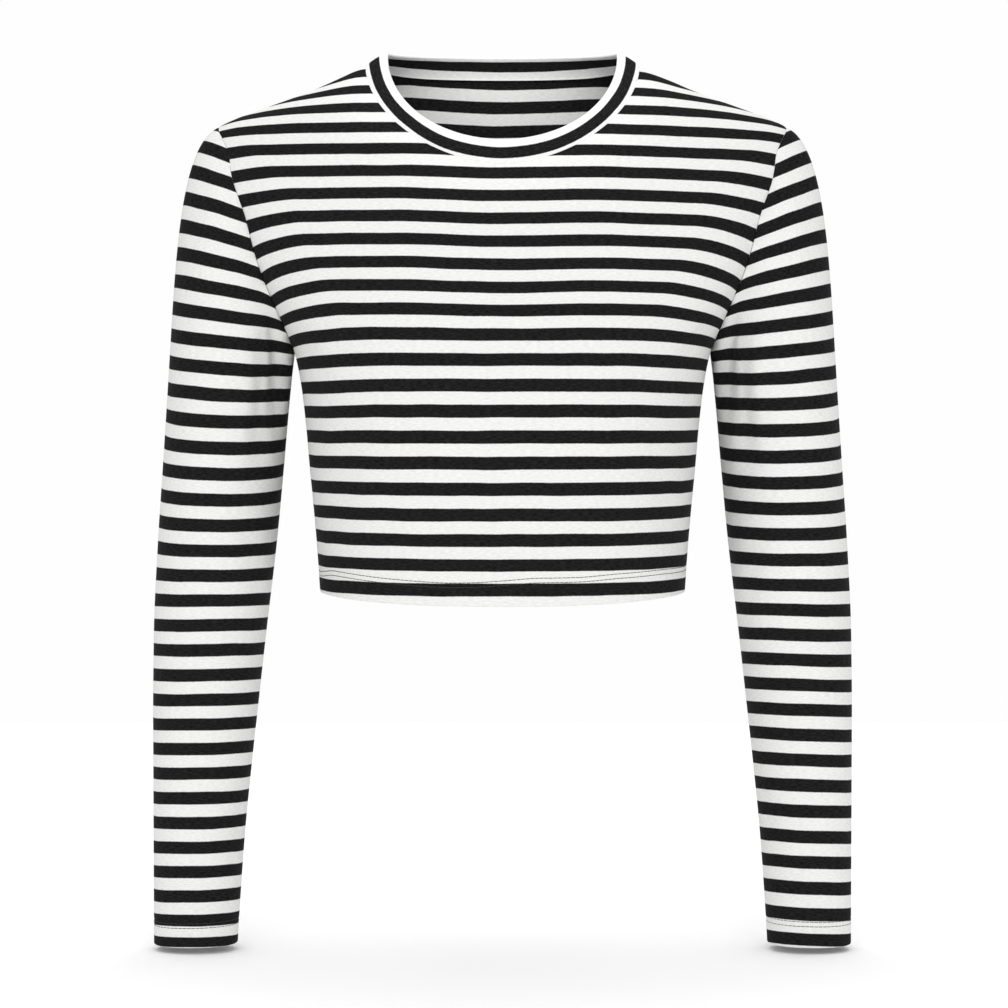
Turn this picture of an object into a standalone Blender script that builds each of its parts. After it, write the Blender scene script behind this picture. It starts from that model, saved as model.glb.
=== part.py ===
"""Long-sleeved crew-neck crop top in striped jersey, in the shape it has when worn, with nobody in it.

Origin: on the centre plane, in the plane of the shoulder and side seams, level with the neckband at the
sides of the neck. +X is the wearer's left, -Y the front, +Z up. Tables and sizes are in millimetres.
"""

import math

import bpy
import numpy as np

MM = 0.001

# Cloth
WALL = 1.6  # jersey wall
FOLD_WALL = 2.6  # wall where the cloth is turned up and doubled
BAND_WALL = 2.4  # the neckband is two layers
SEAM_GAP = 0.3  # between the pieces that a seam joins
HEM_DEPTH = 17.0
CUFF_DEPTH = 14.0
FOLD_STEP = 2.0  # length over which a turned-up edge thins to one layer

# Key heights
UNDERARM_Z = -199.0
SHOULDER_TIP_Z = -45.9
NECK_POINT_Z = -3.8
HEM_SIDE_Z = -364.4
HEM_DIP_FRONT = 5.2  # how far the hem hangs below its sides at the centre
HEM_DIP_BACK = 3.0
CUFF_Z = -607.0

# Neck opening, where the band is sewn on
NECK_HALF_WIDTH = 94.0
NECK_FRONT_DROP = 71.0
NECK_BACK_DROP = 4.2
NECK_FRONT_ROUNDNESS = 1.8
# Upper edge of the neckband
BAND_HALF_WIDTH = 79.0
BAND_SIDE_Z = 5.5
BAND_FRONT_Z = -57.9
BAND_BACK_Z = 7.6
BAND_FRONT_Y = -60.5
BAND_BACK_Y = 54.0
BAND_FRONT_HOLLOW = 1.15  # above 1, the band's front sweeps in faster from the sides
BAND_CROWN = 0.7  # how far the band's face swells between seam and edge
BAND_ROUNDING = BAND_WALL / 3  # bevel along its upper edge

# Level sections of the body. Above the underarm they run on under the sleeve, and the armholes cut them.
BODY_COLUMNS = ("height", "half_width", "front", "back", "squareness")
BODY = (
    (-376.0, 124.8, 102.0, 79.5, 2.50),
    (-340.0, 127.0, 111.0, 82.0, 2.50),
    (-310.0, 129.4, 119.0, 85.5, 2.50),
    (-280.0, 132.2, 124.5, 90.0, 2.50),
    (-250.0, 134.8, 125.0, 94.0, 2.50),
    (-222.0, 138.2, 121.5, 97.0, 2.50),
    (-199.0, 143.2, 116.5, 99.0, 2.45),
    (-187.0, 149.0, 113.0, 99.5, 2.42),
    (-165.0, 162.0, 105.0, 98.5, 2.35),
    (-144.0, 175.0, 97.0, 96.5, 2.25),
    (-113.0, 191.5, 83.5, 91.0, 2.10),
    (-77.0, 204.5, 66.0, 83.0, 2.05),
    (-62.0, 203.5, 57.0, 78.5, 2.00),
    (-51.0, 200.0, 49.8, 74.6, 2.00),
    (-45.9, 194.6, 45.8, 72.6, 2.00),
    (-40.0, 182.5, 41.5, 70.5, 2.00),
    (-33.0, 163.6, 35.8, 68.2, 2.00),
    (-22.0, 133.6, 27.4, 65.0, 2.00),
    (-11.0, 108.8, 18.9, 61.9, 2.00),
    (-3.8, 94.0, 12.6, 59.9, 2.00),
)
# Armhole edges seen from the side: (y, z) of a Bezier curve's four corners, from underarm to shoulder tip
ARMHOLE_FRONT = ((0.0, UNDERARM_Z), (-61.0, -205.0), (-43.0, -46.5), (0.0, SHOULDER_TIP_Z))
ARMHOLE_BACK = ((0.0, UNDERARM_Z), (56.0, -205.0), (55.0, -46.5), (0.0, SHOULDER_TIP_Z))
INSIDE_ARMHOLE = (100.0, 0.0, -125.0)  # a point in the hollow, on the body's side of the +X armhole

# Sections of a sleeve by the height of their middle. Tilt lifts a section's outer end.
SLEEVE_COLUMNS = ("height", "outer", "inner", "half_depth", "middle_y", "tilt_deg")
SLEEVE = (
    (-641.0, 240.0, 183.6, 25.0, -13.5, -0.6),
    (-607.0, 240.2, 182.6, 26.0, -10.0, -0.6),
    (-574.0, 240.5, 180.8, 28.0, -7.0, -2.2),
    (-530.0, 241.0, 177.8, 31.5, -2.5, -2.3),
    (-486.0, 241.4, 173.6, 35.0, 1.5, -2.1),
    (-441.0, 241.8, 168.9, 38.5, 6.0, -1.7),
    (-397.0, 241.4, 164.1, 41.5, 8.5, -1.2),
    (-331.0, 238.2, 156.2, 45.0, 8.0, -0.4),
    (-276.0, 234.2, 150.8, 46.5, 5.5, 0.3),
    (-237.0, 231.4, 147.2, 47.0, 3.5, 2.4),
    (-205.0, 229.2, 143.9, 47.0, 2.0, 4.0),
)
SLEEVE_SQUARENESS = 2.1
BICEPS_Z = -216.0  # the section where the sleeve's head ends and its tube begins
# How the head leaves the armhole and meets the tube, at the underarm and at the shoulder tip
HEAD_LEAVES_UNDERARM = (0.10, 0.0, -1.0)
HEAD_LEAVES_TIP = (0.93, 0.0, -0.37)
HEAD_FORE_AND_AFT = 0.30
HEAD_START_PULL = (6.0, 29.0)
HEAD_END_PULL = (6.0, 77.0)
# Soft fold where the sleeve's spare cloth hangs beside the armpit, front and back
FOLD_COLUMNS = ("around", "height", "half_width", "half_length", "depth")
SLEEVE_FOLDS = (
    (0.145, -236.0, 0.055, 62.0, 3.2),
    (0.845, -242.0, 0.060, 58.0, 2.6),
)

# Mesh counts. Half a panel is a grid of cells with two corners left out: one above the low part of the neck
# opening, and one above the floor of the armhole.
NECK_FLOOR_STEPS = 7
NECK_SIDE_STEPS = 5
SHOULDER_STEPS = 7
ARMHOLE_FLOOR_STEPS = 4
ARMHOLE_SIDE_STEPS = 12
SHOULDER_CROWDING = 0.4  # share by which steps along armhole and neck shorten towards the shoulder seam
SIDE_STEPS = 9
HEAD_STEPS = 6
TUBE_STEPS = 14
RELAX_ROUNDS = 1200
RELAX_START = (0.5, -200.0)  # turn and height where the points that are not on an edge start
NEAREST_DAMPING = 0.8  # share of each step taken on the way to the nearest surface point
NEAREST_MARGIN = (0.003, 0.2)  # how near it may come to the seams, in turn, and to the neck points, in height


def read(table, columns, name, at):
    """One column of a table at any height, by a cubic through its rows that never overshoots them."""
    rows = np.array(table, float)
    knots, values = rows[:, 0], rows[:, columns.index(name)]
    width = np.diff(knots)
    rise = np.diff(values) / width
    slope = np.concatenate([rise[:1], np.zeros(len(rise) - 1), rise[-1:]])
    same_way = rise[1:] * rise[:-1] > 0
    pairs = rise[1:][same_way], rise[:-1][same_way]
    slope[1:-1][same_way] = 2 * pairs[0] * pairs[1] / (pairs[0] + pairs[1])
    at = np.clip(at, knots[0], knots[-1])
    i = np.clip(np.searchsorted(knots, at, side="right") - 1, 0, len(width) - 1)
    t = (at - knots[i]) / width[i]
    return (
        values[i] * (1 + 2 * t) * (1 - t) ** 2
        + values[i + 1] * t * t * (3 - 2 * t)
        + width[i] * t * (1 - t) * (slope[i] * (1 - t) - slope[i + 1] * t)
    )


def unit(v):
    return v / np.linalg.norm(v, axis=-1, keepdims=True)


def bezier(corners, q):
    a, b, c, d = corners
    p = 1 - q
    return a * p**3 + 3 * b * p * p * q + 3 * c * p * q * q + d * q**3


def body(side, turn, z):
    """Point of the body's surface. turn goes from 0 at the centre to 1 at the side seam."""
    power = 2 / read(BODY, BODY_COLUMNS, "squareness", z)
    angle = turn * math.pi / 2
    across = read(BODY, BODY_COLUMNS, "half_width", z) * np.sin(angle) ** power
    depth = read(BODY, BODY_COLUMNS, side, z) * np.clip(np.cos(angle), 0, 1) ** power
    return np.stack([across, depth if side == "back" else -depth, z + 0 * across], axis=-1)


def turn_at(side, z, x=None, y=None):
    """The turn at which the body's surface at height z has the given x or y."""
    power = read(BODY, BODY_COLUMNS, "squareness", z) / 2
    if x is not None:
        share = np.clip(np.abs(x) / read(BODY, BODY_COLUMNS, "half_width", z), 0, 1)
        return np.arcsin(share**power) * 2 / math.pi
    share = np.clip(np.abs(y) / read(BODY, BODY_COLUMNS, side, z), 0, 1)
    return np.arccos(share**power) * 2 / math.pi


def evenly(points, count, crowding=0.0):
    """Places along a fine run of points, as fractional indexes, that cut it into lengths.

    The lengths are equal, or with crowding they shorten steadily from the first to the last.
    """
    steps = np.linalg.norm(np.diff(points, axis=0), axis=1)
    along = np.concatenate([[0], np.cumsum(steps)])
    share = np.linspace(0, 1, count + 1)
    share = share + crowding * share * (1 - share)
    return np.interp(share * along[-1], along, np.arange(len(points)))


def edge(side, run, count, crowding=0.0):
    """Cuts a fine run of (turn, z) on the body into lengths."""
    at = evenly(body(side, run[:, 0], run[:, 1]), count, crowding)
    fine = np.arange(len(run))
    return np.stack([np.interp(at, fine, run[:, k]) for k in (0, 1)], axis=1)


def hem_height(side, turn):
    dip = HEM_DIP_BACK if side == "back" else HEM_DIP_FRONT
    return HEM_SIDE_Z - dip * np.cos(turn * math.pi / 2) ** 2


def armhole_edge(side):
    """(turn, z) up one armhole edge, from underarm to shoulder tip."""
    q = np.linspace(0, 1, 400)
    corners = np.array(ARMHOLE_BACK if side == "back" else ARMHOLE_FRONT)
    y, z = (bezier(corners[:, k], q) for k in (0, 1))
    z = np.clip(z, UNDERARM_Z, SHOULDER_TIP_Z)
    run = np.stack([turn_at(side, z, y=y), z], axis=1)
    run[[0, -1], 0] = 1.0
    return edge(side, run, ARMHOLE_FLOOR_STEPS + ARMHOLE_SIDE_STEPS, SHOULDER_CROWDING)


def neck_edge(side):
    """(turn, z) along half the neck opening, from the centre to the neck point."""
    angle = np.linspace(0, math.pi / 2, 400)
    front = side == "front"
    power = 2 / NECK_FRONT_ROUNDNESS if front else 1.0
    drop = NECK_FRONT_DROP if front else NECK_BACK_DROP
    x = NECK_HALF_WIDTH * np.sin(angle) ** power
    z = NECK_POINT_Z - drop * np.clip(np.cos(angle), 0, 1) ** power
    run = np.stack([turn_at(side, z, x=x), z], axis=1)
    run[0, 0], run[-1, 0] = 0.0, 1.0
    return edge(side, run, NECK_FLOOR_STEPS + NECK_SIDE_STEPS, SHOULDER_CROWDING)


def nearest_start(side, points):
    """(turn, z) straight out from the body's axis, a first guess for settle()."""
    z = np.clip(points[..., 2], BODY[0][0], NECK_POINT_Z - NEAREST_MARGIN[1])
    power = read(BODY, BODY_COLUMNS, "squareness", z) / 2
    across = (np.abs(points[..., 0]) / read(BODY, BODY_COLUMNS, "half_width", z)) ** power
    depth = (np.abs(points[..., 1]) / read(BODY, BODY_COLUMNS, side, z)) ** power
    return np.arctan2(across, depth) * 2 / math.pi, z


def settle(side, points, turn, z, rounds):
    """(turn, z) of the body's surface points nearest to the given ones, by Gauss and Newton's method."""
    seam_margin, top_margin = NEAREST_MARGIN
    small_turn, small_z = 1e-3, 0.05

    def dot(a, b):
        return np.sum(a * b, axis=-1)

    for _ in range(rounds):
        off = points - body(side, turn, z)
        along = (body(side, turn + small_turn, z) - body(side, turn - small_turn, z)) / (2 * small_turn)
        up = (body(side, turn, z + small_z) - body(side, turn, z - small_z)) / (2 * small_z)
        scale = (dot(along, along) * dot(up, up) - dot(along, up) ** 2 + 1e-9) / NEAREST_DAMPING
        more_turn = (dot(along, off) * dot(up, up) - dot(up, off) * dot(along, up)) / scale
        more_z = (dot(up, off) * dot(along, along) - dot(along, off) * dot(along, up)) / scale
        turn = np.clip(turn + more_turn, seam_margin, 1 - seam_margin)
        z = np.clip(z + more_z, BODY[0][0], NECK_POINT_Z - top_margin)
    return turn, z


def half_panel(side):
    """(turn, z) grid of half a panel and which of its cells exist, rows from hem to top, centre to side.

    The edges are set out along the seams. Every other point then moves to the middle of its neighbours and
    onto the body's surface until the cells are even.
    """
    neck_c, arm_c = NECK_FLOOR_STEPS, NECK_FLOOR_STEPS + SHOULDER_STEPS
    last_c = arm_c + ARMHOLE_FLOOR_STEPS
    arm_r, last_r = SIDE_STEPS, SIDE_STEPS + ARMHOLE_SIDE_STEPS
    neck_r = last_r - NECK_SIDE_STEPS
    cells = np.ones((last_r, last_c), bool)
    cells[arm_r:, arm_c:] = cells[neck_r:, :neck_c] = False
    grid = np.full((last_r + 1, last_c + 1, 2), np.nan)
    # the hem and the two lines of its fold
    level = np.stack([np.linspace(0, 1, 200), hem_height(side, np.linspace(0, 1, 200))], axis=1)
    hem = edge(side, level, last_c)
    fold_rows = (0.0, HEM_DEPTH - FOLD_STEP / 2, HEM_DEPTH + FOLD_STEP / 2)
    for r, rise in enumerate(fold_rows):
        grid[r] = hem + [0.0, rise]
    # armhole and neck, each split into its floor and its side
    arm, neck = armhole_edge(side), neck_edge(side)
    grid[arm_r, arm_c:] = arm[ARMHOLE_FLOOR_STEPS::-1]
    grid[arm_r:, arm_c] = arm[ARMHOLE_FLOOR_STEPS:]
    grid[neck_r, : neck_c + 1] = neck[: NECK_FLOOR_STEPS + 1]
    grid[neck_r:, neck_c] = neck[NECK_FLOOR_STEPS:]
    # shoulder seam, side seam and centre line
    for where, start, end, turn in (
        (np.s_[-1, neck_c : arm_c + 1], NECK_POINT_Z, SHOULDER_TIP_Z, 1.0),
        (np.s_[2 : arm_r + 1, -1], grid[2, -1, 1], UNDERARM_Z, 1.0),
        (np.s_[2 : neck_r + 1, 0], grid[2, 0, 1], neck[0, 1], 0.0),
    ):
        line = np.stack([np.full(200, turn), np.linspace(start, end, 200)], axis=1)
        grid[where] = edge(side, line, len(grid[where]) - 1)
    free = np.isnan(grid[..., 0])
    used = np.zeros(free.shape, bool)
    for r, c in ((0, 0), (0, 1), (1, 0), (1, 1)):
        used[r : last_r + r, c : last_c + c] |= cells
    free &= used
    sliding = slice(len(fold_rows), neck_r)  # rows whose point on the centre line may move along it
    points = body(side, grid[..., 0], grid[..., 1])
    points[free] = body(side, *RELAX_START)
    points[~used] = 0.0

    def even_out(rounds):
        for _ in range(rounds):
            middle = points.copy()
            middle[1:-1, 1:-1] = (
                points[:-2, 1:-1] + points[2:, 1:-1] + points[1:-1, :-2] + points[1:-1, 2:]
            ) / 4
            centre_line = points[sliding.start - 1 : neck_r + 1, 0]
            beside = points[sliding, 1] * [0.0, 1.0, 1.0]
            points[sliding, 0] = (centre_line[2:] + centre_line[:-2] + 2 * beside) / 4
            points[free] = middle[free]

    even_out(RELAX_ROUNDS)
    turn, z = settle(side, points[free], *nearest_start(side, points[free]), 8)
    for _ in range(RELAX_ROUNDS // 6):
        points[free] = body(side, turn, z)
        even_out(2)
        turn, z = settle(side, points[free], turn, z, 2)
        grid[sliding, 0, 1] = points[sliding, 0, 2]
        points[sliding, 0] = body(side, grid[sliding, 0, 0], grid[sliding, 0, 1])
    grid[free] = np.stack([turn, z], axis=-1)
    grid[~used] = RELAX_START
    return grid[..., 0], grid[..., 1], cells


def body_normal(side, turn, z):
    """Outward unit normal, with no y part on the side and shoulder seams."""
    small = 1e-3
    low, high = np.clip(turn - small, 0, 1), np.clip(turn + small, 0, 1)
    around = body(side, high, z) - body(side, low, z)
    up = body(side, turn, z + 0.5) - body(side, turn, z - 0.5)
    normal = np.cross(around, up) if side == "front" else np.cross(up, around)
    normal[turn > 0.9995, 1] = 0.0
    return unit(normal)


def across_seam(edge_out, normal, next_on, next_normal):
    """Unit vector across a seam, from the first piece to the second, halfway between their surfaces."""
    return unit(edge_out + next_on + normal - next_normal)


def close_edge(points, normals, across, thickness):
    """Outer and inner edge points of a wall that ends at a seam, both on its own side of the seam.

    normals give the way through the wall, and across points out of the wall, over the seam.
    """
    outer = points - across * SEAM_GAP / 2
    inner = points - normals * thickness
    over = np.sum((inner - points) * across, axis=-1, keepdims=True) + SEAM_GAP / 2
    return outer, inner - across * np.maximum(over, 0)


def mirrored(points):
    return points * np.array([-1.0, 1.0, 1.0])


def add_object(name, vertices, faces, colour):
    mesh = bpy.data.meshes.new(name)
    mesh.from_pydata([tuple(v) for v in np.asarray(vertices) * MM], [], faces)
    mesh.validate()
    obj = bpy.data.objects.new(name, mesh)
    bpy.context.scene.collection.objects.link(obj)
    material = bpy.data.materials.new(name + "_jersey")
    material.use_nodes = True
    shader = material.node_tree.nodes["Principled BSDF"]
    shader.inputs["Base Color"].default_value = (*colour, 1.0)
    shader.inputs["Roughness"].default_value = 0.9
    mesh.materials.append(material)
    mesh.shade_smooth()
    mesh.set_sharp_from_angle(angle=math.radians(50))
    return obj


def split(points, ring):
    """The two triangles of a four-sided face, cut along its shorter diagonal."""
    a, b, c, d = ring
    if np.linalg.norm(points[a] - points[c]) > np.linalg.norm(points[b] - points[d]):
        a, b, c, d = b, c, d, a
    return [a, b, c], [a, c, d]


def wall_mesh(name, outer, inner, cells, flip, colour):
    """A closed wall between two grids of points. cells says which cells of the grids exist.

    With as many columns of cells as of points, the last column joins the first. Both faces of a cell are
    cut along the same diagonal, so the wall never crosses itself.
    """
    rows, columns = outer.shape[:2]
    count = rows * columns
    points = np.concatenate([outer.reshape(-1, 3), inner.reshape(-1, 3)])
    faces, edges = [], set()
    for r, c in zip(*np.nonzero(cells)):
        e = (c + 1) % columns
        ring = [r * columns + c, r * columns + e, (r + 1) * columns + e, (r + 1) * columns + c]
        edges |= set(zip(ring, ring[1:] + ring[:1]))
        for face in split(points, ring):
            faces += [face, [count + v for v in reversed(face)]]
    for a, b in sorted(edges):
        if (b, a) not in edges:
            faces += split(points, [b, a, count + a, count + b])
    faces = [face[::-1] for face in faces] if flip else faces
    kept = sorted({v for face in faces for v in face})
    new = {v: i for i, v in enumerate(kept)}
    return add_object(name, points[kept], [[new[v] for v in face] for face in faces], colour)


def arm_loop(head_start):
    """Armhole edge of the +X side as one loop: underarm, up the front, shoulder tip, down the back.

    head_start gives the direction in which the sleeve leaves each point. Returns the loop's points and the
    unit vectors across the seam, from body to sleeve.
    """
    points, normals = [], []
    for side, order in (("front", 1), ("back", -1)):
        turn, z = armhole_edge(side)[::order].T
        points.append(body(side, turn, z)[:-1])
        normals.append(body_normal(side, turn, z)[:-1])
    points, normals = np.concatenate(points), np.concatenate(normals)
    along = unit(np.roll(points, -1, axis=0) - np.roll(points, 1, axis=0))
    edge_out = unit(np.cross(along, normals))
    edge_out *= np.sign(np.sum(edge_out * (points - INSIDE_ARMHOLE), axis=1))[:, None]
    leaving = unit(head_start - along * np.sum(head_start * along, axis=1, keepdims=True))
    sleeve_normal = unit(np.cross(leaving, along))
    return points, across_seam(edge_out, normals, leaving, sleeve_normal)


def sleeve_section(height, around):
    """Points of one sleeve section on the +X side. around: 0 inner side, 0.25 front, 0.5 outer, 0.75 back."""

    def sleeve(name, z):
        return float(read(SLEEVE, SLEEVE_COLUMNS, name, z))

    half_width = (sleeve("outer", height) - sleeve("inner", height)) / 2
    rise = half_width * math.tan(math.radians(sleeve("tilt_deg", height)))
    inner_end = np.array([sleeve("inner", height - rise), 0.0, height - rise])
    outer_end = np.array([sleeve("outer", height + rise), 0.0, height + rise])
    middle = (inner_end + outer_end) / 2 + [0.0, sleeve("middle_y", height), 0.0]
    reach = (outer_end - inner_end) / 2
    depth = sleeve("half_depth", height)
    angle = 2 * math.pi * around
    power = 2 / SLEEVE_SQUARENESS
    c, s = np.cos(angle), np.sin(angle)
    c, s = np.sign(c) * np.abs(c) ** power, np.sign(s) * np.abs(s) ** power
    return middle - np.outer(c, reach) - np.outer(s, [0.0, depth, 0.0])


def head_directions(around):
    """Where the sleeve's head heads as it leaves the armhole, and its two pulls."""
    lift = ((1 - np.cos(2 * math.pi * around)) / 2)[:, None]
    start = (1 - lift) * np.array(HEAD_LEAVES_UNDERARM) + lift * np.array(HEAD_LEAVES_TIP)
    start = start - np.outer(np.sin(2 * math.pi * around), [0.0, HEAD_FORE_AND_AFT, 0.0])
    pulls = [low + (high - low) * lift for low, high in (HEAD_START_PULL, HEAD_END_PULL)]
    return unit(start), pulls[0], pulls[1]


def fold_depth(around, z):
    """How far the sleeve's soft folds sink at each point."""
    depth = np.zeros(np.broadcast(around, z).shape)
    for row in SLEEVE_FOLDS:
        fold = dict(zip(FOLD_COLUMNS, row))
        side = np.abs((around - fold["around"] + 0.5) % 1 - 0.5) / fold["half_width"]
        up = np.abs(z - fold["height"]) / fold["half_length"]
        depth += fold["depth"] * np.cos(np.clip(side, 0, 1) * math.pi / 2) ** 2 * np.cos(
            np.clip(up, 0, 1) * math.pi / 2) ** 2
    return depth


def sleeve_grid():
    """Outer and inner points of the +X sleeve, rows from the armhole to the cuff."""
    steps = 2 * (ARMHOLE_FLOOR_STEPS + ARMHOLE_SIDE_STEPS)
    around = np.arange(steps) / steps
    start, pull_0, pull_1 = head_directions(around)
    loop, across = arm_loop(start)
    top = sleeve_section(BICEPS_Z, around)
    down = unit(sleeve_section(BICEPS_Z - 2.0, around) - top)
    rows = [
        bezier((loop, loop + start * pull_0, top - down * pull_1, top), v)
        for v in np.linspace(0, 1, HEAD_STEPS + 1)[:-1]
    ]
    fold_top = CUFF_Z + CUFF_DEPTH
    heights = list(np.linspace(BICEPS_Z, fold_top + FOLD_STEP / 2, TUBE_STEPS - 1))
    heights += [fold_top - FOLD_STEP / 2, CUFF_Z]
    rows += [sleeve_section(z, around) for z in heights]
    grid = np.array(rows)
    thickness = np.full((len(rows), 1, 1), WALL)
    thickness[-2:] = FOLD_WALL
    down_rows = np.gradient(grid, axis=0)
    round_rows = np.roll(grid, -1, axis=1) - np.roll(grid, 1, axis=1)
    normals = unit(np.cross(down_rows, round_rows))
    grid = grid - normals * fold_depth(around[None, :], grid[..., 2])[..., None]
    inner = grid - normals * thickness
    inner[-1, :, 2] = grid[-1, :, 2]
    grid[0], inner[0] = close_edge(loop, normals[0], -across, WALL)
    return grid, inner


def panel_grid(side):
    """Outer and inner points of a whole panel and its cells, rows from hem to top, columns from -X to +X."""
    turn, z, cells = half_panel(side)
    neck_c, arm_c = NECK_FLOOR_STEPS, NECK_FLOOR_STEPS + SHOULDER_STEPS
    arm_r, neck_r = SIDE_STEPS, SIDE_STEPS + ARMHOLE_SIDE_STEPS - NECK_SIDE_STEPS
    outer = body(side, turn, z)
    normals = body_normal(side, turn, z)
    thickness = np.full(turn.shape + (1,), WALL)
    thickness[:2] = FOLD_WALL
    inner = outer - normals * thickness
    inner[0, :, 2] = outer[0, :, 2]
    # side and shoulder seams keep to their own side of the plane y = 0
    seams = np.zeros(turn.shape, bool)
    seams[: arm_r + 1, -1] = seams[-1, neck_c : arm_c + 1] = True
    for grid in (outer, inner):
        grid[seams, 1] = (SEAM_GAP if side == "back" else -SEAM_GAP) / 2
    # armhole and neck
    steps = 2 * (ARMHOLE_FLOOR_STEPS + ARMHOLE_SIDE_STEPS)
    around = arm_loop(head_directions(np.arange(steps) / steps)[0])[1]
    arm = around[: steps // 2 + 1] if side == "front" else around[-np.arange(steps // 2 + 1)]
    neck = neck_seam(side)
    normals[neck_r, :neck_c] = neck["facing"][:NECK_FLOOR_STEPS]
    normals[neck_r:, neck_c] = neck["facing"][NECK_FLOOR_STEPS:]
    for where, over in (
        (np.s_[arm_r, arm_c + 1 :], arm[:ARMHOLE_FLOOR_STEPS][::-1]),
        (np.s_[arm_r:, arm_c], arm[ARMHOLE_FLOOR_STEPS:]),
        (np.s_[neck_r, :neck_c], neck["across"][:NECK_FLOOR_STEPS]),
        (np.s_[neck_r:, neck_c], neck["across"][NECK_FLOOR_STEPS:]),
    ):
        outer[where], inner[where] = close_edge(outer[where], normals[where], over, WALL)
    # the other half is its mirror image
    cells = np.concatenate([cells[:, ::-1], cells], axis=1)
    return *(np.concatenate([mirrored(g[:, :0:-1]), g], axis=1) for g in (outer, inner)), cells


def band_top(side, angle):
    """Upper edge of the neckband, angle 0 at the centre and 90 degrees at the neck point."""
    c = np.clip(np.cos(angle), 0, 1)
    front = side == "front"
    z = BAND_SIDE_Z + ((BAND_FRONT_Z if front else BAND_BACK_Z) - BAND_SIDE_Z) * c
    y = BAND_FRONT_Y * c**BAND_FRONT_HOLLOW if front else BAND_BACK_Y * c
    return np.stack([BAND_HALF_WIDTH * np.sin(angle), y, z], axis=-1)


def neck_seam(side):
    """Half the neck seam, centre to neck point, by name.

    seam and top are matching points of the seam and of the band's upper edge. across points from body to
    band, facing out of the seam midway between the two surfaces, and normal out of the band.
    """
    run = neck_edge(side)
    seam = body(side, run[:, 0], run[:, 1])
    fine = np.linspace(0, math.pi / 2, 400)
    at = evenly(band_top(side, fine), NECK_FLOOR_STEPS + NECK_SIDE_STEPS, SHOULDER_CROWDING)
    top = band_top(side, np.interp(at, np.arange(400), fine))
    body_out = body_normal(side, run[:, 0], run[:, 1])
    whole = np.concatenate([mirrored(seam[1:2]), seam, seam[-2:-1] * [1, -1, 1]])
    along = unit(whole[2:] - whole[:-2])
    edge_out = unit(np.cross(along, body_out))
    edge_out *= np.sign(np.sum(edge_out * (top - seam), axis=1))[:, None]
    leaving = unit(top - seam - along * np.sum((top - seam) * along, axis=1, keepdims=True))
    normal = unit(np.cross(leaving, along))
    normal *= np.sign(np.sum(normal * body_out, axis=1))[:, None]
    across = across_seam(edge_out, body_out, leaving, normal)
    facing = body_out + normal
    facing = unit(facing - across * np.sum(facing * across, axis=1, keepdims=True))
    return {"seam": seam, "top": top, "across": across, "facing": facing, "normal": normal}


def band_loops():
    """Outer and inner points of the neckband, rows from its seam to its edge, columns round the neck."""
    front, back = neck_seam("front"), neck_seam("back")
    loop = {}
    for name in front:
        half = np.concatenate([front[name][:-1], back[name][::-1]])
        loop[name] = np.concatenate([half, mirrored(half[-2:0:-1])])
    seam, top, normal = loop["seam"], loop["top"], loop["normal"]
    base, inner_base = close_edge(seam, loop["facing"], -loop["across"], BAND_WALL)
    middle = (seam + top) / 2 + normal * BAND_CROWN
    below_top = top - unit(top - seam) * BAND_ROUNDING
    outer = [base, middle, below_top, top - normal * BAND_ROUNDING]
    inner = [inner_base, middle - normal * BAND_WALL, below_top - normal * BAND_WALL]
    inner.append(top - normal * (BAND_WALL - BAND_ROUNDING))
    return np.array(outer), np.array(inner)


def build():
    for old in list(bpy.data.objects):
        bpy.data.objects.remove(old, do_unlink=True)
    off_white, warm_white = (0.80, 0.80, 0.78), (0.70, 0.70, 0.68)
    for side, flip in (("front", False), ("back", True)):
        wall_mesh(side, *panel_grid(side), flip, off_white)
    outer, inner = sleeve_grid()
    tube = np.ones((len(outer) - 1, outer.shape[1]), bool)
    wall_mesh("sleeve_left", outer, inner, tube, True, warm_white)
    wall_mesh("sleeve_right", mirrored(outer), mirrored(inner), tube, False, warm_white)
    outer, inner = band_loops()
    wall_mesh("neckband", outer, inner, np.ones((len(outer) - 1, outer.shape[1]), bool), False, off_white)


build()
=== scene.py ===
"""Looks of a long-sleeved crop top: striped jersey shells with soft folds, their sewing and a studio.

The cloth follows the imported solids' sections on a finer grid. The tables and the cloth's sizes are in
millimetres, +X is the wearer's left, -Y the front and +Z up. The sidebar's sizes are in metres.
"""

import math

import bpy
import numpy as np
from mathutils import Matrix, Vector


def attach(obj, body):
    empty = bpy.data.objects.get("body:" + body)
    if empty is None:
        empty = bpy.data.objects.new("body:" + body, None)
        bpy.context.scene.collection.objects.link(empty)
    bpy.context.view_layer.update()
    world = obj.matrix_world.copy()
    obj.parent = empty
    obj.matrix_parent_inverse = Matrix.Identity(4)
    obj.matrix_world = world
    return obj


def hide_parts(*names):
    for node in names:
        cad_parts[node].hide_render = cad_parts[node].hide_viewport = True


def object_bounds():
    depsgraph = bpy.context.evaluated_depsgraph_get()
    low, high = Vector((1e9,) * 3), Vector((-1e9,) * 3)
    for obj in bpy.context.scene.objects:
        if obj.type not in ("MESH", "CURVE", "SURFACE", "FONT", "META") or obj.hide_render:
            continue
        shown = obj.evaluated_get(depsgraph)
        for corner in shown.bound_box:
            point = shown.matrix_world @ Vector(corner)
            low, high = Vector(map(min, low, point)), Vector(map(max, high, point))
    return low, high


bl_info = {
    "name": "Striped Crop Top",
    "version": (1, 0, 0),
    "blender": (4, 5, 0),
    "location": "View3D > Sidebar > Crop Top",
    "description": "Dresses the crop top's solids in striped cotton jersey with sewn hems",
    "category": "Object",
}

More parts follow.
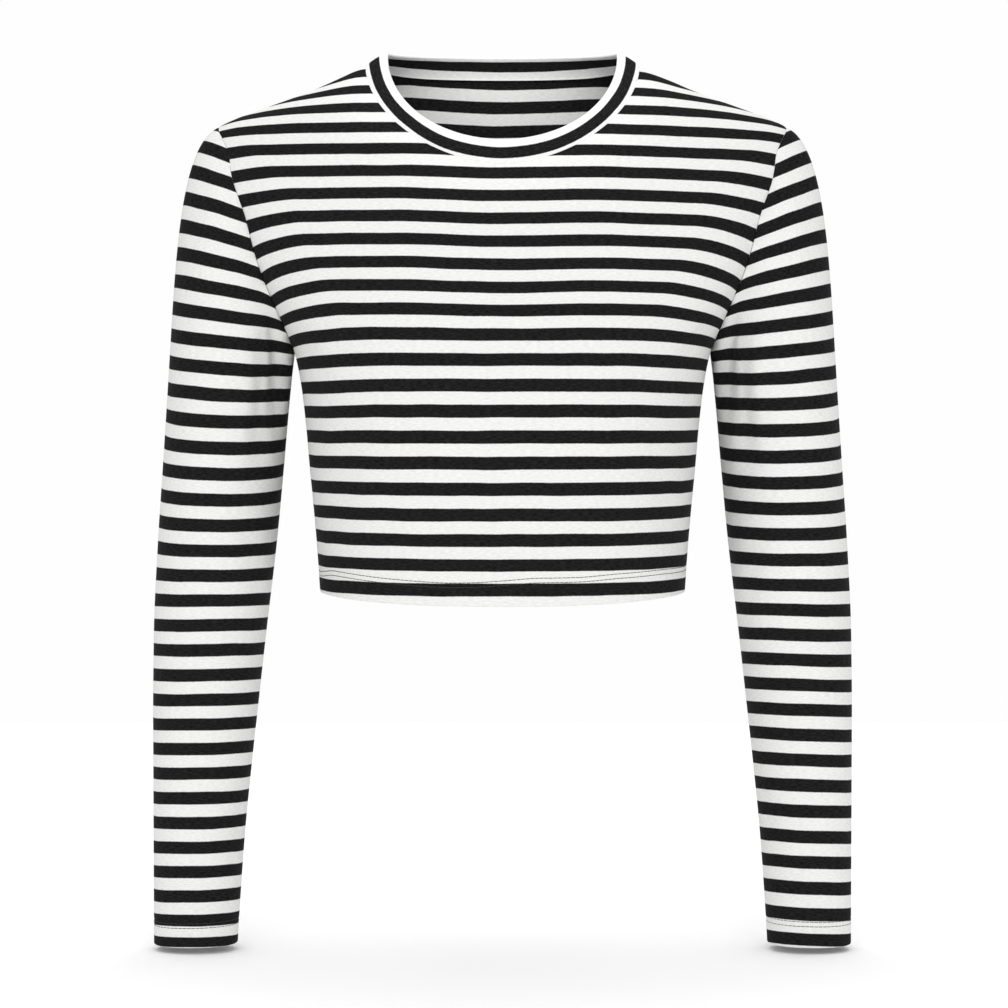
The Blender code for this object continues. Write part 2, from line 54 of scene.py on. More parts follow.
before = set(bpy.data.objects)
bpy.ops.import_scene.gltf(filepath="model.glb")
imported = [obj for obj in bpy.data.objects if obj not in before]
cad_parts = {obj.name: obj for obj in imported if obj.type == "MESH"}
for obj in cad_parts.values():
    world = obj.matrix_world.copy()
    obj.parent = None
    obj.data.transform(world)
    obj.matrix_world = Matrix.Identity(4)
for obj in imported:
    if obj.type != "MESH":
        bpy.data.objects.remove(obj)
CAD_BOX = [list(corner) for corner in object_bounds()]
MM = 0.001

# --- Cut and form, as in the solids ---

UNDERARM_Z = -199.0
SHOULDER_TIP_Z = -45.9
NECK_POINT_Z = -3.8
HEM_SIDE_Z = -364.4
HEM_DIP = {"front": 5.2, "back": 3.0}  # how far the hem hangs below its sides at the centre
CUFF_Z = -607.0
NECK_HALF_WIDTH = 94.0
NECK_SHAPE = {"front": (71.0, 1.8), "back": (4.2, 2.0)}  # its drop at the centre, and its roundness
BAND_HALF_WIDTH = 79.0
BAND_SIDE_Z = 5.5
BAND_CENTRE = {"front": (-60.5, -57.9, 1.15), "back": (54.0, 7.6, 1.0)}  # y and z of its edge, and hollow

# Level sections of the body. Above the underarm they run on under the sleeve, and the armholes cut them.
BODY_COLUMNS = ("height", "half_width", "front", "back", "squareness")
BODY = (
    (-376, 124.8, 102, 79.5, 2.5), (-340, 127, 111, 82, 2.5), (-310, 129.4, 119, 85.5, 2.5),
    (-280, 132.2, 124.5, 90, 2.5), (-250, 134.8, 125, 94, 2.5), (-222, 138.2, 121.5, 97, 2.5),
    (-199, 143.2, 116.5, 99, 2.45), (-187, 149, 113, 99.5, 2.42), (-165, 162, 105, 98.5, 2.35),
    (-144, 175, 97, 96.5, 2.25), (-113, 191.5, 83.5, 91, 2.1), (-77, 204.5, 66, 83, 2.05),
    (-62, 203.5, 57, 78.5, 2), (-51, 200, 49.8, 74.6, 2), (-45.9, 194.6, 45.8, 72.6, 2),
    (-40, 182.5, 41.5, 70.5, 2), (-33, 163.6, 35.8, 68.2, 2), (-22, 133.6, 27.4, 65, 2),
    (-11, 108.8, 18.9, 61.9, 2), (-3.8, 94, 12.6, 59.9, 2),
)
# Armhole edges seen from the side: (y, z) of a Bezier curve's four corners, from underarm to shoulder tip
ARMHOLE = {
    "front": ((0.0, UNDERARM_Z), (-61.0, -205.0), (-43.0, -46.5), (0.0, SHOULDER_TIP_Z)),
    "back": ((0.0, UNDERARM_Z), (56.0, -205.0), (55.0, -46.5), (0.0, SHOULDER_TIP_Z)),
}
INSIDE_ARMHOLE = (100.0, 0.0, -125.0)  # a point in the hollow, on the body's side of the +X armhole

# Sections of a sleeve by the height of their middle. Tilt lifts a section's outer end.
SLEEVE_COLUMNS = ("height", "outer", "inner", "half_depth", "middle_y", "tilt_deg")
SLEEVE = (
    (-641, 240, 183.6, 25, -13.5, -0.6), (-607, 240.2, 182.6, 26, -10, -0.6),
    (-574, 240.5, 180.8, 28, -7, -2.2), (-530, 241, 177.8, 31.5, -2.5, -2.3),
    (-486, 241.4, 173.6, 35, 1.5, -2.1), (-441, 241.8, 168.9, 38.5, 6, -1.7),
    (-397, 241.4, 164.1, 41.5, 8.5, -1.2), (-331, 238.2, 156.2, 45, 8, -0.4),
    (-276, 234.2, 150.8, 46.5, 5.5, 0.3), (-237, 231.4, 147.2, 47, 3.5, 2.4),
    (-205, 229.2, 143.9, 47, 2, 4),
)
SLEEVE_SQUARENESS = 2.1
BICEPS_Z = -216.0  # the section where the sleeve's head ends and its tube begins
HEAD_LEAVES_UNDERARM = (0.10, 0.0, -1.0)
HEAD_LEAVES_TIP = (0.93, 0.0, -0.37)
HEAD_FORE_AND_AFT = 0.30
HEAD_PULLS = ((6.0, 29.0), (6.0, 77.0))  # of its start and its end, each at the underarm and at the tip

# --- Folds ---

# Soft creases. On the body, x and z place the middle. On a sleeve, around does (0 inner side, 0.25 front,
# 0.5 outer, 0.75 back). Lean turns the top of the crease towards +X or +around. Depth below 0 is a ridge.
BODY_CREASE_COLUMNS = ("x", "z", "length", "lean_deg", "half_width", "depth")
BODY_CREASES = {
    "front": (
        (-131, -196, 66, -38, 9, 1.1), (-118, -204, 80, -44, 13, -0.8), (130, -192, 60, 40, 8, 1.2),
        (117, -203, 86, 47, 14, -0.8), (-104, -285, 130, 14, 17, 0.9), (106, -296, 110, -11, 15, 1),
        (-60, -318, 70, 9, 16, -0.5), (48, -302, 84, -6, 19, 0.5), (-92, -66, 74, -52, 12, 0.5),
        (101, -72, 66, 56, 11, 0.5),
    ),
    "back": (
        (-122, -186, 96, -33, 12, 1.8), (-100, -204, 90, -40, 13, -1.1), (126, -190, 84, 36, 11, 1.6),
        (102, -212, 106, 44, 15, -1), (-38, -262, 150, 5, 14, 1.7), (-18, -280, 120, -3, 12, -1),
        (30, -254, 132, -7, 16, 1.4), (77, -306, 84, 8, 15, 1.2), (-84, -312, 74, -9, 14, 1.1),
        (4, -122, 92, 3, 18, 0.8),
    ),
}
SLEEVE_GIRTH = 275.0  # the sleeve's girth at the biceps, which turns around into a length for its creases
SLEEVE_CREASE_COLUMNS = ("around", "z", "length", "lean_deg", "half_width", "depth")
SLEEVE_CREASES = {
    "sleeve_left": (
        (0.145, -236, 124, 0, 15.1, 3.2), (0.845, -242, 116, 0, 16.5, 2.6),
        (0.094, -212, 110, 2, 12.5, 4.6), (0.035, -222, 84, 2, 8, -1), (0.19, -214, 76, 12, 10, -0.8),
        (0.13, -352, 90, 16, 12, 0.8), (0.24, -378, 70, 62, 9, 0.55), (0.215, -412, 64, 70, 9, 0.6),
        (0.3, -452, 58, -66, 8, 0.45), (0.8, -214, 80, -12, 11, -0.9), (0.86, -372, 92, -28, 12, 1.3),
        (0.78, -398, 80, -64, 10, 1.1), (0.7, -366, 60, 68, 9, 0.9), (0.56, -190, 80, 6, 15, 0.6),
        (0.62, -532, 74, 34, 10, 0.7), (0.09, -512, 92, -20, 10, 0.7),
    ),
    "sleeve_right": (
        (0.145, -236, 124, 0, 15.1, 3.2), (0.845, -242, 116, 0, 16.5, 2.6),
        (0.094, -214, 114, 1, 12.5, 4.9), (0.035, -220, 90, -1, 8, -1.1), (0.185, -222, 68, 14, 9, -0.7),
        (0.14, -338, 84, 20, 12, 0.8), (0.25, -366, 78, 58, 10, 0.6), (0.225, -392, 58, 74, 8, 0.5),
        (0.29, -498, 66, -58, 9, 0.45), (0.79, -208, 88, -10, 12, -0.9), (0.85, -360, 84, -30, 11, 1.2),
        (0.77, -390, 84, -60, 11, 1.2), (0.69, -412, 54, 72, 8, 0.8), (0.54, -178, 86, 8, 16, 0.6),
        (0.64, -506, 80, 30, 11, 0.7), (0.085, -526, 86, -18, 10, 0.6),
    ),
}
HEM_IS_FLAT = (14.0, 40.0)  # creases come in between these heights above a hem or cuff
BODY_SEAMS_ARE_FLAT = (0.0, 14.0)  # and between these distances from a seam
SLEEVE_SEAMS_ARE_FLAT = (1.0, 12.0)
# Small puckers that run down and away from the armhole seam
PUCKER_FALL = 0.35
PUCKER_COLUMNS = ("height", "half_width", "reach", "depth")
SLEEVE_PUCKERS = (
    (-184, 5, 22, 0.9), (-171, 4, 15, -0.5), (-158, 6, 26, 0.8), (-139, 5, 14, 0.45), (-121, 7, 20, 0.4),
    (-97, 6, 16, 0.35), (-72, 7, 18, 0.4),
)
BODY_PUCKERS = ((-190, 6, 24, 0.5), (-176, 5, 18, -0.3), (-161, 7, 22, 0.35), (-128, 8, 18, 0.25))

# --- Stripes ---

# Stripes are counted up from the hem or cuff. A black stripe's upper edge is at each whole number.
STRIPE_COLUMNS = ("height", "stripes_up")
BODY_STRIPES = {
    "front": (
        (-376, -1.28), (-354, 0), (-337.7, 1), (-304.1, 3), (-252.8, 6), (-218.9, 8), (-201.8, 9),
        (-184.8, 10), (-168.5, 11), (-152.9, 12), (-121.8, 14), (-90.8, 16), (-60.1, 18), (-45.4, 19),
        (-31.5, 20), (-18.5, 21), (-3.8, 22.2),
    ),
    "back": (
        (-376, -1.28), (-354, 0), (-337.7, 1), (-252.8, 6), (-201.8, 9), (-112, 14.5), (-39.8, 19),
        (-23.3, 20), (-3.8, 21.2),
    ),
}
# They hang at the middle of the chest, below the neck. The sink fades out between two heights.
CENTRE_SINK = 2.2
CENTRE_SINK_REACH = 75.0
CENTRE_SINK_HEIGHTS = (-225.0, -145.0)
BACK_RISE = 3.2  # how far the back's stripes rise beside the neck
BACK_RISE_REACH = 85.0
BACK_RISE_HEIGHTS = (-110.0, -45.0)
OVER_SHOULDER_WIDTHS = (62.0, 112.0)  # from here on the back's stripes keep their spacing over the shoulder
STRIPE_STEP = 17.15  # from one black stripe of the body to the next
# They slope down towards the wearer's left, from a place beside the middle, and less so further down.
LEFT_SLOPE = 0.025
LEFT_SLOPE_FROM = 20.0
LEFT_SLOPE_HEIGHTS = (-235.0, -120.0)
# They droop towards the armholes, more so on the left one, and a little at the sides of the waist.
DROOP_COLUMNS = ("height", "droop", "reach")
ARMHOLE_DROOP = (
    (-252, 0, 60), (-236, 0.9, 66), (-219, 1.9, 72), (-202, 3.2, 76), (-185, 6.4, 76), (-169, 9.8, 68),
    (-153, 10.6, 60), (-137, 8.8, 51), (-121, 7.1, 45), (-106, 4.9, 43), (-90, 3.6, 38), (-75, 2.4, 32),
    (-60, 1, 16), (-50, 0, 15),
)
LEFT_ARMHOLE_MORE = (1.16, 1.1)  # times the droop and the reach
DROOP_ROUNDNESS = 1.5
SIDE_DROOP_COLUMNS = ("height", "droop")
SIDE_DROOP = ((-290, 0), (-252, 0.8), (-235, 1.3), (-219, 1.6), (-202, 1), (-170, 0))
SIDE_DROOP_WIDTHS = (80.0, 125.0)  # it grows between these distances from the middle
SHOULDER_DROOP = 8.0  # where the front rolls over to the shoulder seam
SHOULDER_DROOP_REACH = 6.0
SHOULDER_DROOP_WIDTHS = (90.0, 125.0)
# Rings of stripes round the sleeves. Height is where the front line crosses the ring, tilt lifts its outer
# end and pitch lifts its back.
RING_COLUMNS = ("height", "stripes_up", "tilt_deg", "pitch_deg")
SLEEVE_RINGS = {
    "sleeve_right": (
        (-612.7, -1, -0.4, -3.5), (-599.7, 0, -0.5, -3.5), (-584, 1, -1.1, -3.5), (-567.5, 2, -1.4, -3.5),
        (-534.3, 4, -1.2, -3.5), (-500.4, 6, -1.2, -3.5), (-466.8, 8, -1.1, -3.4), (-433.4, 10, -0.9, -3.2),
        (-399.4, 12, -0.6, -2.6), (-365.4, 14, -0.3, -1.6), (-331.4, 16, 0.3, 1.6), (-296.5, 18, 0.9, 3.6),
        (-260.9, 20, 1.8, 4.3), (-224.3, 22, 3.3, 3.6), (-187.8, 24, 5.8, 2.8), (-150.4, 26, 11.2, -0.4),
        (-111.8, 28, 17.6, -3.2), (-72, 30, 21.5, -4), (-32, 32, 24, -4),
    ),
    "sleeve_left": (
        (-613.6, -1, -2.5, -4.2), (-597, 0, -2.5, -4.2), (-561.6, 2, -2.5, -4.2), (-526.7, 4, -2.5, -4.2),
        (-491.6, 6, -2.5, -4.2), (-457.2, 8, -2.2, -4), (-423.1, 10, -1.9, -3.8), (-389, 12, -1.3, -2.8),
        (-354.9, 14, -0.6, -0.8), (-320.1, 16, 0, 1.8), (-285, 18, 0.6, 3.8), (-248.9, 20, 1.5, 3.9),
        (-212.6, 22, 3.7, 3.6), (-176.1, 24, 7, 3), (-138.6, 26, 14.4, -1.2), (-101, 28, 21.8, -2),
        (-62, 30, 25, -2), (-23, 32, 27, -2),
    ),
}
RING_REFERENCE_X = 207.0  # where the front line runs
SEAM_HOOK = 3.0  # the last of a stripe before the armhole seam bends down by this much
SEAM_HOOK_REACH = 4.5
SEAM_HOOK_HEIGHTS = (-165.0, -125.0)
BLACK_RISE = 0.2  # how far a black stripe's blurred upper edge lies above its counted height
# On the neckband's outer and inner face: plain white along the folded edge, then height of the black stripe
BAND_STRIPES = ((6.3, 7.9), (3.6, 7.7))

# --- Neckband, hems and sewing ---

BAND_LAYERS = 2.4  # the band is folded, with a little air inside
BAND_CROWN = 0.7  # how far its face swells between seam and edge
BAND_ROWS = (0, 0.03, 0.065, 0.11, 0.17, 0.26, 0.37, 0.48, 0.59, 0.7, 0.81, 0.91, 1)
HEM_LAYERS = 2.1  # where the edge is turned up, with a little air
HEM_SELVEDGE = 1.0  # how far the turned-up cloth runs on past its upper needle row
HEM_ROUNDING = (75.0, 50.0, 25.0)  # angles of the rows that round the folded edge, in degrees
HEM_WANDER_COLUMNS = ("x", "rise")  # the needle rows were led by hand
HEM_WANDER = {
    "front": (
        (-124, -2.8), (-113, 0.1), (-79, -0.8), (-58, -1.4), (-39, -1.9), (-20, -1.5), (0, -0.2), (24, 1.5),
        (50, 1.4), (77, 2.3), (103, 2.1), (124, 0.8),
    ),
    "back": (
        (-124, 0.3), (-70, 0.9), (-22, -0.5), (31, -1.2), (66, 0.4), (124, -0.6),
    ),
}
SEAM_GAP = 0.05
SEAM_SINK = 0.2  # the cloth rolls down into a seam by this much
SEAM_ROLL = 0.9  # over this length
STITCH_SINK = 0.28  # stitching pulls the cloth in by this much
STITCH_ROLL = 0.8
# Stitches: place along it in stitch lengths, thickness and height in thread radii
STITCH_STATIONS = (
    (-0.5, 0.7, -0.35), (-0.41, 0.95, 0.15), (0, 1, 0.35), (0.41, 0.95, 0.15), (0.5, 0.7, -0.35),
)
STITCH_SIDES = 6

# Cut of what shows of each piece: width, length and area, in metres and square metres
CUTS = {
    "front": (0.450, 0.375, 0.137),
    "back": (0.460, 0.395, 0.140),
    "sleeve_left": (0.300, 0.560, 0.122),
    "sleeve_right": (0.300, 0.560, 0.122),
    "neckband": (0.540, 0.0185, 0.0097),
}

# --- Jersey, in millimetres ---

# Loops are 0.6 mm wide and courses 0.5 mm high, too fine to show, so streaks and flecks stand for them.
STREAK_SIZE = (3.8, 0.75)
FLECK_SIZE = (2.0, 0.6)
STREAK_RANGE = (0.3, 0.7)  # what of the streaks' noise goes from the darkest to the lightest yarn
WHITE_RANGE = (0.94, 1.06)  # times the yarn's colour
BLACK_RANGE = (0.45, 1.6)
EDGE_WANDER = 0.8  # a stripe's edge wanders by half of this either way
EDGE_WANDER_LENGTH = 30.0
EDGE_RAGGEDNESS = 0.3  # and is ragged by half of this over single loops
EDGE_SOFTNESS = 0.3
KNIT_DEPTH = 0.11
FLECK_RELIEF = 0.6  # the flecks' share of the relief, where the streaks' is 1

# --- Studio, in metres ---

FLOOR_CLEARANCE = 0.0044
FLOOR_HALF_SIZE = (1.8, 1.6)
# Kind, size, place, and tilt towards +Y from straight down
LAMPS = {
    "front_light": ("AREA", 2.2, (0.0, -2.6, 1.1), 62.0),
    "floor_light": ("AREA", 2.4, (0.0, 1.2, 1.6), 0.0),
    "neck_light": ("SPOT", 0.1, (0.0, -1.05, 0.75), 54.6),
}
NECK_LIGHT_CONE_DEG = 10.0
FLAG_EDGE = (0.5, 0.95)  # how far aside a way points where the dark flags begin, and where they are full
WALL_SURROUND_EDGE = (0.3, 0.8)  # the same towards the back
WALL_EDGE = (0.93, 0.97)
CAMERA_PLACE = (0.00103, -2.4, -0.224)
CAMERA_LOOKS_DOWN_DEG = 1.93
CAMERA_SENSOR = 36.0  # in millimetres, as its lens
CAMERA_SEES_TO = 50.0

# --- Mesh counts ---

# Half a panel is a grid of cells with two corners left out: one above the low part of the neck opening, and
# one above the floor of the armhole.
NECK_FLOOR_STEPS = 7
NECK_SIDE_STEPS = 5
SHOULDER_STEPS = 7
ARMHOLE_FLOOR_STEPS = 4
ARMHOLE_SIDE_STEPS = 12
SIDE_STEPS = 7
SHOULDER_CROWDING = 0.4
FINER = 6  # how many times finer the cloth is than that grid
RUN_POINTS = 1600  # of a line that is cut into lengths
GIRTH_POINTS = 25
OVER_SHOULDER_POINTS = 120
HEM_POINTS = 400
CUFF_POINTS = 360
SLICE_POINTS = 2000
SEAM_TURN = 0.9995  # from this turn on a point is on the side or shoulder seam
FIRST_SETTLE_ROUNDS = 8
RING_ROUNDS = 8
SHARP_DEG = 60.0  # faces that meet at more than this get a hard edge
RELAX_ROUNDS = 900
SETTLE_ROUNDS = 150
FINE_ROUNDS = 30
RELAX_START = (0.5, -200.0)
NEAREST_DAMPING = 0.8
NEAREST_MARGIN = (0.003, 0.2)
ARM_LOOP_STEPS = 2 * (ARMHOLE_FLOOR_STEPS + ARMHOLE_SIDE_STEPS) * FINER
HEAD_ROWS = 7 * FINER
TUBE_ROWS = 19 * FINER
SEAM_LINES = (0.15, 0.38, 0.68)  # extra grid lines beside a seam, as shares of a cell
# Heights of the cloth's rows above a hem or cuff
HEM_ROWS = (
    1, 2.6, 4.6, 7, 9.5, 11.5, 12.5, 13.3, 14.1, 14.8, 15.5, 16.2, 16.9, 17.6, 18.3, 19, 19.7, 20.5, 21.5,
)


# --- Small tools ---


def read(table, columns, name, at):
    """One column of a table at any height, by a cubic through its rows that never overshoots them."""
    rows = np.array(table, float)
    knots, values = rows[:, 0], rows[:, columns.index(name)]
    width = np.diff(knots)
    rise = np.diff(values) / width
    slope = np.concatenate([rise[:1], np.zeros(len(rise) - 1), rise[-1:]])
    same_way = rise[1:] * rise[:-1] > 0
    pairs = rise[1:][same_way], rise[:-1][same_way]
    slope[1:-1][same_way] = 2 * pairs[0] * pairs[1] / (pairs[0] + pairs[1])
    at = np.clip(at, knots[0], knots[-1])
    i = np.clip(np.searchsorted(knots, at, side="right") - 1, 0, len(width) - 1)
    t = (at - knots[i]) / width[i]
    return (
        values[i] * (1 + 2 * t) * (1 - t) ** 2
        + values[i + 1] * t * t * (3 - 2 * t)
        + width[i] * t * (1 - t) * (slope[i] * (1 - t) - slope[i + 1] * t)
    )


def dot(a, b):
    return np.sum(a * b, axis=-1, keepdims=True)


def unit(v):
    return v / np.maximum(np.linalg.norm(v, axis=-1, keepdims=True), 1e-12)


def square_to(v, way):
    """What is left of v, at unit length, once its part along the unit vector way is taken off."""
    return unit(v - way * dot(v, way))


def smooth(low, high, at):
    """0 up to low, 1 from high on, and a soft step between."""
    t = np.clip((at - low) / (high - low), 0, 1)
    return t * t * (3 - 2 * t)


def bezier(corners, q):
    a, b, c, d = corners
    p = 1 - q
    return a * p**3 + 3 * b * p * p * q + 3 * c * p * q * q + d * q**3


def mirrored(points):
    return points * np.array([-1.0, 1.0, 1.0])


def resample(grid, rows, columns):
    """The grid read at fractional row and column numbers, straight between its points."""
    for axis, at in ((0, np.asarray(rows, float)), (1, np.asarray(columns, float))):
        low = np.clip(np.floor(at).astype(int), 0, grid.shape[axis] - 2)
        share = (at - low).reshape((-1,) + (1,) * (grid.ndim - 1 - axis))
        grid = np.take(grid, low, axis) * (1 - share) + np.take(grid, low + 1, axis) * share
    return grid


def evenly(points, count, crowding=0.0):
    """Places along a fine run of points, as fractional indexes, that cut it into lengths.

    The lengths are equal, or with crowding they shorten steadily from the first to the last.
    """
    steps = np.linalg.norm(np.diff(points, axis=0), axis=1)
    along = np.concatenate([[0], np.cumsum(steps)])
    share = np.linspace(0, 1, count + 1)
    share = share + crowding * share * (1 - share)
    return np.interp(share * along[-1], along, np.arange(len(points)))


def distance_to(lines, points):
    """Distance from each point to the nearest point of the lines, in slices to save memory."""
    lines = np.concatenate([line.reshape(-1, 3) for line in lines])
    flat = points.reshape(-1, 3)
    nearest = [
        np.sqrt(np.maximum(((part[:, None] - lines[None]) ** 2).sum(axis=-1).min(axis=1), 0))
        for part in np.array_split(flat, max(1, len(flat) // SLICE_POINTS))
    ]
    return np.concatenate(nearest).reshape(points.shape[:-1])


# --- Form of the body ---


def body(side, turn, z):
    """Point of the body's surface. turn goes from 0 at the centre to 1 at the side seam."""
    power = 2 / read(BODY, BODY_COLUMNS, "squareness", z)
    angle = turn * math.pi / 2
    across = read(BODY, BODY_COLUMNS, "half_width", z) * np.sin(angle) ** power
    depth = read(BODY, BODY_COLUMNS, side, z) * np.clip(np.cos(angle), 0, 1) ** power
    return np.stack([across, depth if side == "back" else -depth, z + 0 * across], axis=-1)


def turn_at(side, z, x=None, y=None):
    """The turn at which the body's surface at height z has the given x or y."""
    power = read(BODY, BODY_COLUMNS, "squareness", z) / 2
    if x is not None:
        share = np.clip(np.abs(x) / read(BODY, BODY_COLUMNS, "half_width", z), 0, 1)
        return np.arcsin(share**power) * 2 / math.pi
    share = np.clip(np.abs(y) / read(BODY, BODY_COLUMNS, side, z), 0, 1)
    return np.arccos(share**power) * 2 / math.pi


def body_normal(side, turn, z):
    """Outward unit normal, with no y part on the side and shoulder seams."""
    small_turn, small_rise = 1e-3, 0.5
    low, high = np.clip(turn - small_turn, 0, 1), np.clip(turn + small_turn, 0, 1)
    around = body(side, high, z) - body(side, low, z)
    up = body(side, turn, z + small_rise) - body(side, turn, z - small_rise)
    normal = np.cross(around, up) if side == "front" else np.cross(up, around)
    normal[turn > SEAM_TURN, 1] = 0.0
    return unit(normal)


def girth_to(side, turn, z):
    """Length along the body's level section from the centre to each turn."""
    run = np.stack([body(side, turn * share, z) for share in np.linspace(0, 1, GIRTH_POINTS)])
    return np.linalg.norm(np.diff(run, axis=0), axis=-1).sum(axis=0)


def edge(side, run, count, crowding=0.0):
    """Cuts a fine run of (turn, z) on the body into lengths."""
    at = evenly(body(side, run[:, 0], run[:, 1]), count, crowding)
    fine = np.arange(len(run))
    return np.stack([np.interp(at, fine, run[:, k]) for k in (0, 1)], axis=1)


def hem_height(side, turn):
    return HEM_SIDE_Z - HEM_DIP[side] * np.cos(turn * math.pi / 2) ** 2


def armhole_edge(side, scale):
    """(turn, z) up one armhole edge, from underarm to shoulder tip."""
    q = np.linspace(0, 1, RUN_POINTS)
    corners = np.array(ARMHOLE[side])
    y, z = (bezier(corners[:, k], q) for k in (0, 1))
    z = np.clip(z, UNDERARM_Z, SHOULDER_TIP_Z)
    run = np.stack([turn_at(side, z, y=y), z], axis=1)
    run[[0, -1], 0] = 1.0
    return edge(side, run, (ARMHOLE_FLOOR_STEPS + ARMHOLE_SIDE_STEPS) * scale, SHOULDER_CROWDING)


def neck_edge(side, scale):
    """(turn, z) along half the neck opening, from the centre to the neck point."""
    angle = np.linspace(0, math.pi / 2, RUN_POINTS)
    drop, roundness = NECK_SHAPE[side]
    x = NECK_HALF_WIDTH * np.sin(angle) ** (2 / roundness)
    z = NECK_POINT_Z - drop * np.clip(np.cos(angle), 0, 1) ** (2 / roundness)
    run = np.stack([turn_at(side, z, x=x), z], axis=1)
    run[0, 0], run[-1, 0] = 0.0, 1.0
    return edge(side, run, (NECK_FLOOR_STEPS + NECK_SIDE_STEPS) * scale, SHOULDER_CROWDING)


def nearest_start(side, points):
    """(turn, z) straight out from the body's axis, a first guess for settle()."""
    z = np.clip(points[..., 2], BODY[0][0], NECK_POINT_Z - NEAREST_MARGIN[1])
    power = read(BODY, BODY_COLUMNS, "squareness", z) / 2
    across = (np.abs(points[..., 0]) / read(BODY, BODY_COLUMNS, "half_width", z)) ** power
    depth = (np.abs(points[..., 1]) / read(BODY, BODY_COLUMNS, side, z)) ** power
    return np.arctan2(across, depth) * 2 / math.pi, z


def settle(side, points, turn, z, rounds):
    """(turn, z) of the body's surface points nearest to the given ones, by Gauss and Newton's method."""
    seam_margin, top_margin = NEAREST_MARGIN
    small_turn, small_z = 1e-3, 0.05
    for _ in range(rounds):
        off = points - body(side, turn, z)
        along = (body(side, turn + small_turn, z) - body(side, turn - small_turn, z)) / (2 * small_turn)
        up = (body(side, turn, z + small_z) - body(side, turn, z - small_z)) / (2 * small_z)
        pairs = ((along, along), (up, up), (along, up), (along, off), (up, off))
        aa, uu, au, ao, uo = (np.sum(a * b, axis=-1) for a, b in pairs)
        scale = (aa * uu - au**2 + 1e-9) / NEAREST_DAMPING
        turn = np.clip(turn + (ao * uu - uo * au) / scale, seam_margin, 1 - seam_margin)
        z = np.clip(z + (uo * aa - ao * au) / scale, BODY[0][0], NECK_POINT_Z - top_margin)
    return turn, z


def panel_marks(scale):
    """Row and column numbers of half a panel's corners, on a grid scale times finer than the solid's."""
    neck_c = NECK_FLOOR_STEPS * scale
    arm_c = neck_c + SHOULDER_STEPS * scale
    last_c = arm_c + ARMHOLE_FLOOR_STEPS * scale
    arm_r = SIDE_STEPS * scale
    last_r = arm_r + ARMHOLE_SIDE_STEPS * scale
    return neck_c, arm_c, last_c, arm_r, last_r - NECK_SIDE_STEPS * scale, last_r


def lay_on_edges(grid, scale, neck, arm=None):
    """Writes what is given along the neck's and the armhole's edge into half a panel's grid."""
    neck_c, arm_c, last_c, arm_r, neck_r, _ = panel_marks(scale)
    if arm is not None:
        grid[arm_r, arm_c:] = arm[last_c - arm_c :: -1]
        grid[arm_r:, arm_c] = arm[last_c - arm_c :]
    grid[neck_r, : neck_c + 1] = neck[: neck_c + 1]
    grid[neck_r:, neck_c] = neck[neck_c:]


def half_panel(side, scale=1):
    """(turn, z) grid of half a panel and which of its cells exist, rows from the hem's fold to the top.

    The edges are set out along the seams. Every other point then moves to the middle of its neighbours and
    onto the body's surface until the cells are even.
    """
    neck_c, arm_c, last_c, arm_r, neck_r, last_r = panel_marks(scale)
    cells = np.ones((last_r, last_c), bool)
    cells[arm_r:, arm_c:] = cells[neck_r:, :neck_c] = False
    grid = np.full((last_r + 1, last_c + 1, 2), np.nan)
    share = np.linspace(0, 1, RUN_POINTS // 2)
    grid[0] = edge(side, np.stack([share, hem_height(side, share)], axis=1), last_c) + [0.0, HEM_ROWS[-1]]
    neck = neck_edge(side, scale)
    lay_on_edges(grid, scale, neck, armhole_edge(side, scale))
    # shoulder seam, side seam and centre line
    for where, start, end, turn in (
        (np.s_[-1, neck_c : arm_c + 1], NECK_POINT_Z, SHOULDER_TIP_Z, 1.0),
        (np.s_[: arm_r + 1, -1], grid[0, -1, 1], UNDERARM_Z, 1.0),
        (np.s_[: neck_r + 1, 0], grid[0, 0, 1], neck[0, 1], 0.0),
    ):
        line = np.stack([np.full(len(share), turn), np.linspace(start, end, len(share))], axis=1)
        grid[where] = edge(side, line, len(grid[where]) - 1)
    used = np.zeros(grid.shape[:2], bool)
    for r, c in ((0, 0), (0, 1), (1, 0), (1, 1)):
        used[r : last_r + r, c : last_c + c] |= cells
    free = np.isnan(grid[..., 0]) & used
    sliding = slice(1, neck_r)  # rows whose point on the centre line may move along it
    points = body(side, grid[..., 0], grid[..., 1])
    points[~used] = 0.0

    def even_out(rounds):
        for _ in range(rounds):
            middle = (points[:-2, 1:-1] + points[2:, 1:-1] + points[1:-1, :-2] + points[1:-1, 2:]) / 4
            centre_line = points[: neck_r + 1, 0]
            beside = points[sliding, 1] * [0.0, 1.0, 1.0]
            points[sliding, 0] = (centre_line[2:] + centre_line[:-2] + 2 * beside) / 4
            points[1:-1, 1:-1][free[1:-1, 1:-1]] = middle[free[1:-1, 1:-1]]

    if scale == 1:
        points[free] = body(side, *RELAX_START)
        even_out(RELAX_ROUNDS)
        turn, z = settle(side, points[free], *nearest_start(side, points[free]), FIRST_SETTLE_ROUNDS)
        rounds = SETTLE_ROUNDS
    else:
        coarse = np.stack(half_panel(side)[:2], axis=-1)
        start = resample(coarse, np.arange(last_r + 1) / scale, np.arange(last_c + 1) / scale)
        turn, z = start[free].T
        rounds = FINE_ROUNDS
    for _ in range(rounds):
        points[free] = body(side, turn, z)
        even_out(2)
        turn, z = settle(side, points[free], turn, z, 2)
        grid[sliding, 0, 1] = points[sliding, 0, 2]
        points[sliding, 0] = body(side, grid[sliding, 0, 0], grid[sliding, 0, 1])
    grid[free] = np.stack([turn, z], axis=-1)
    grid[~used] = RELAX_START
    return grid[..., 0], grid[..., 1], cells


# --- Seams, sleeves and neckband ---


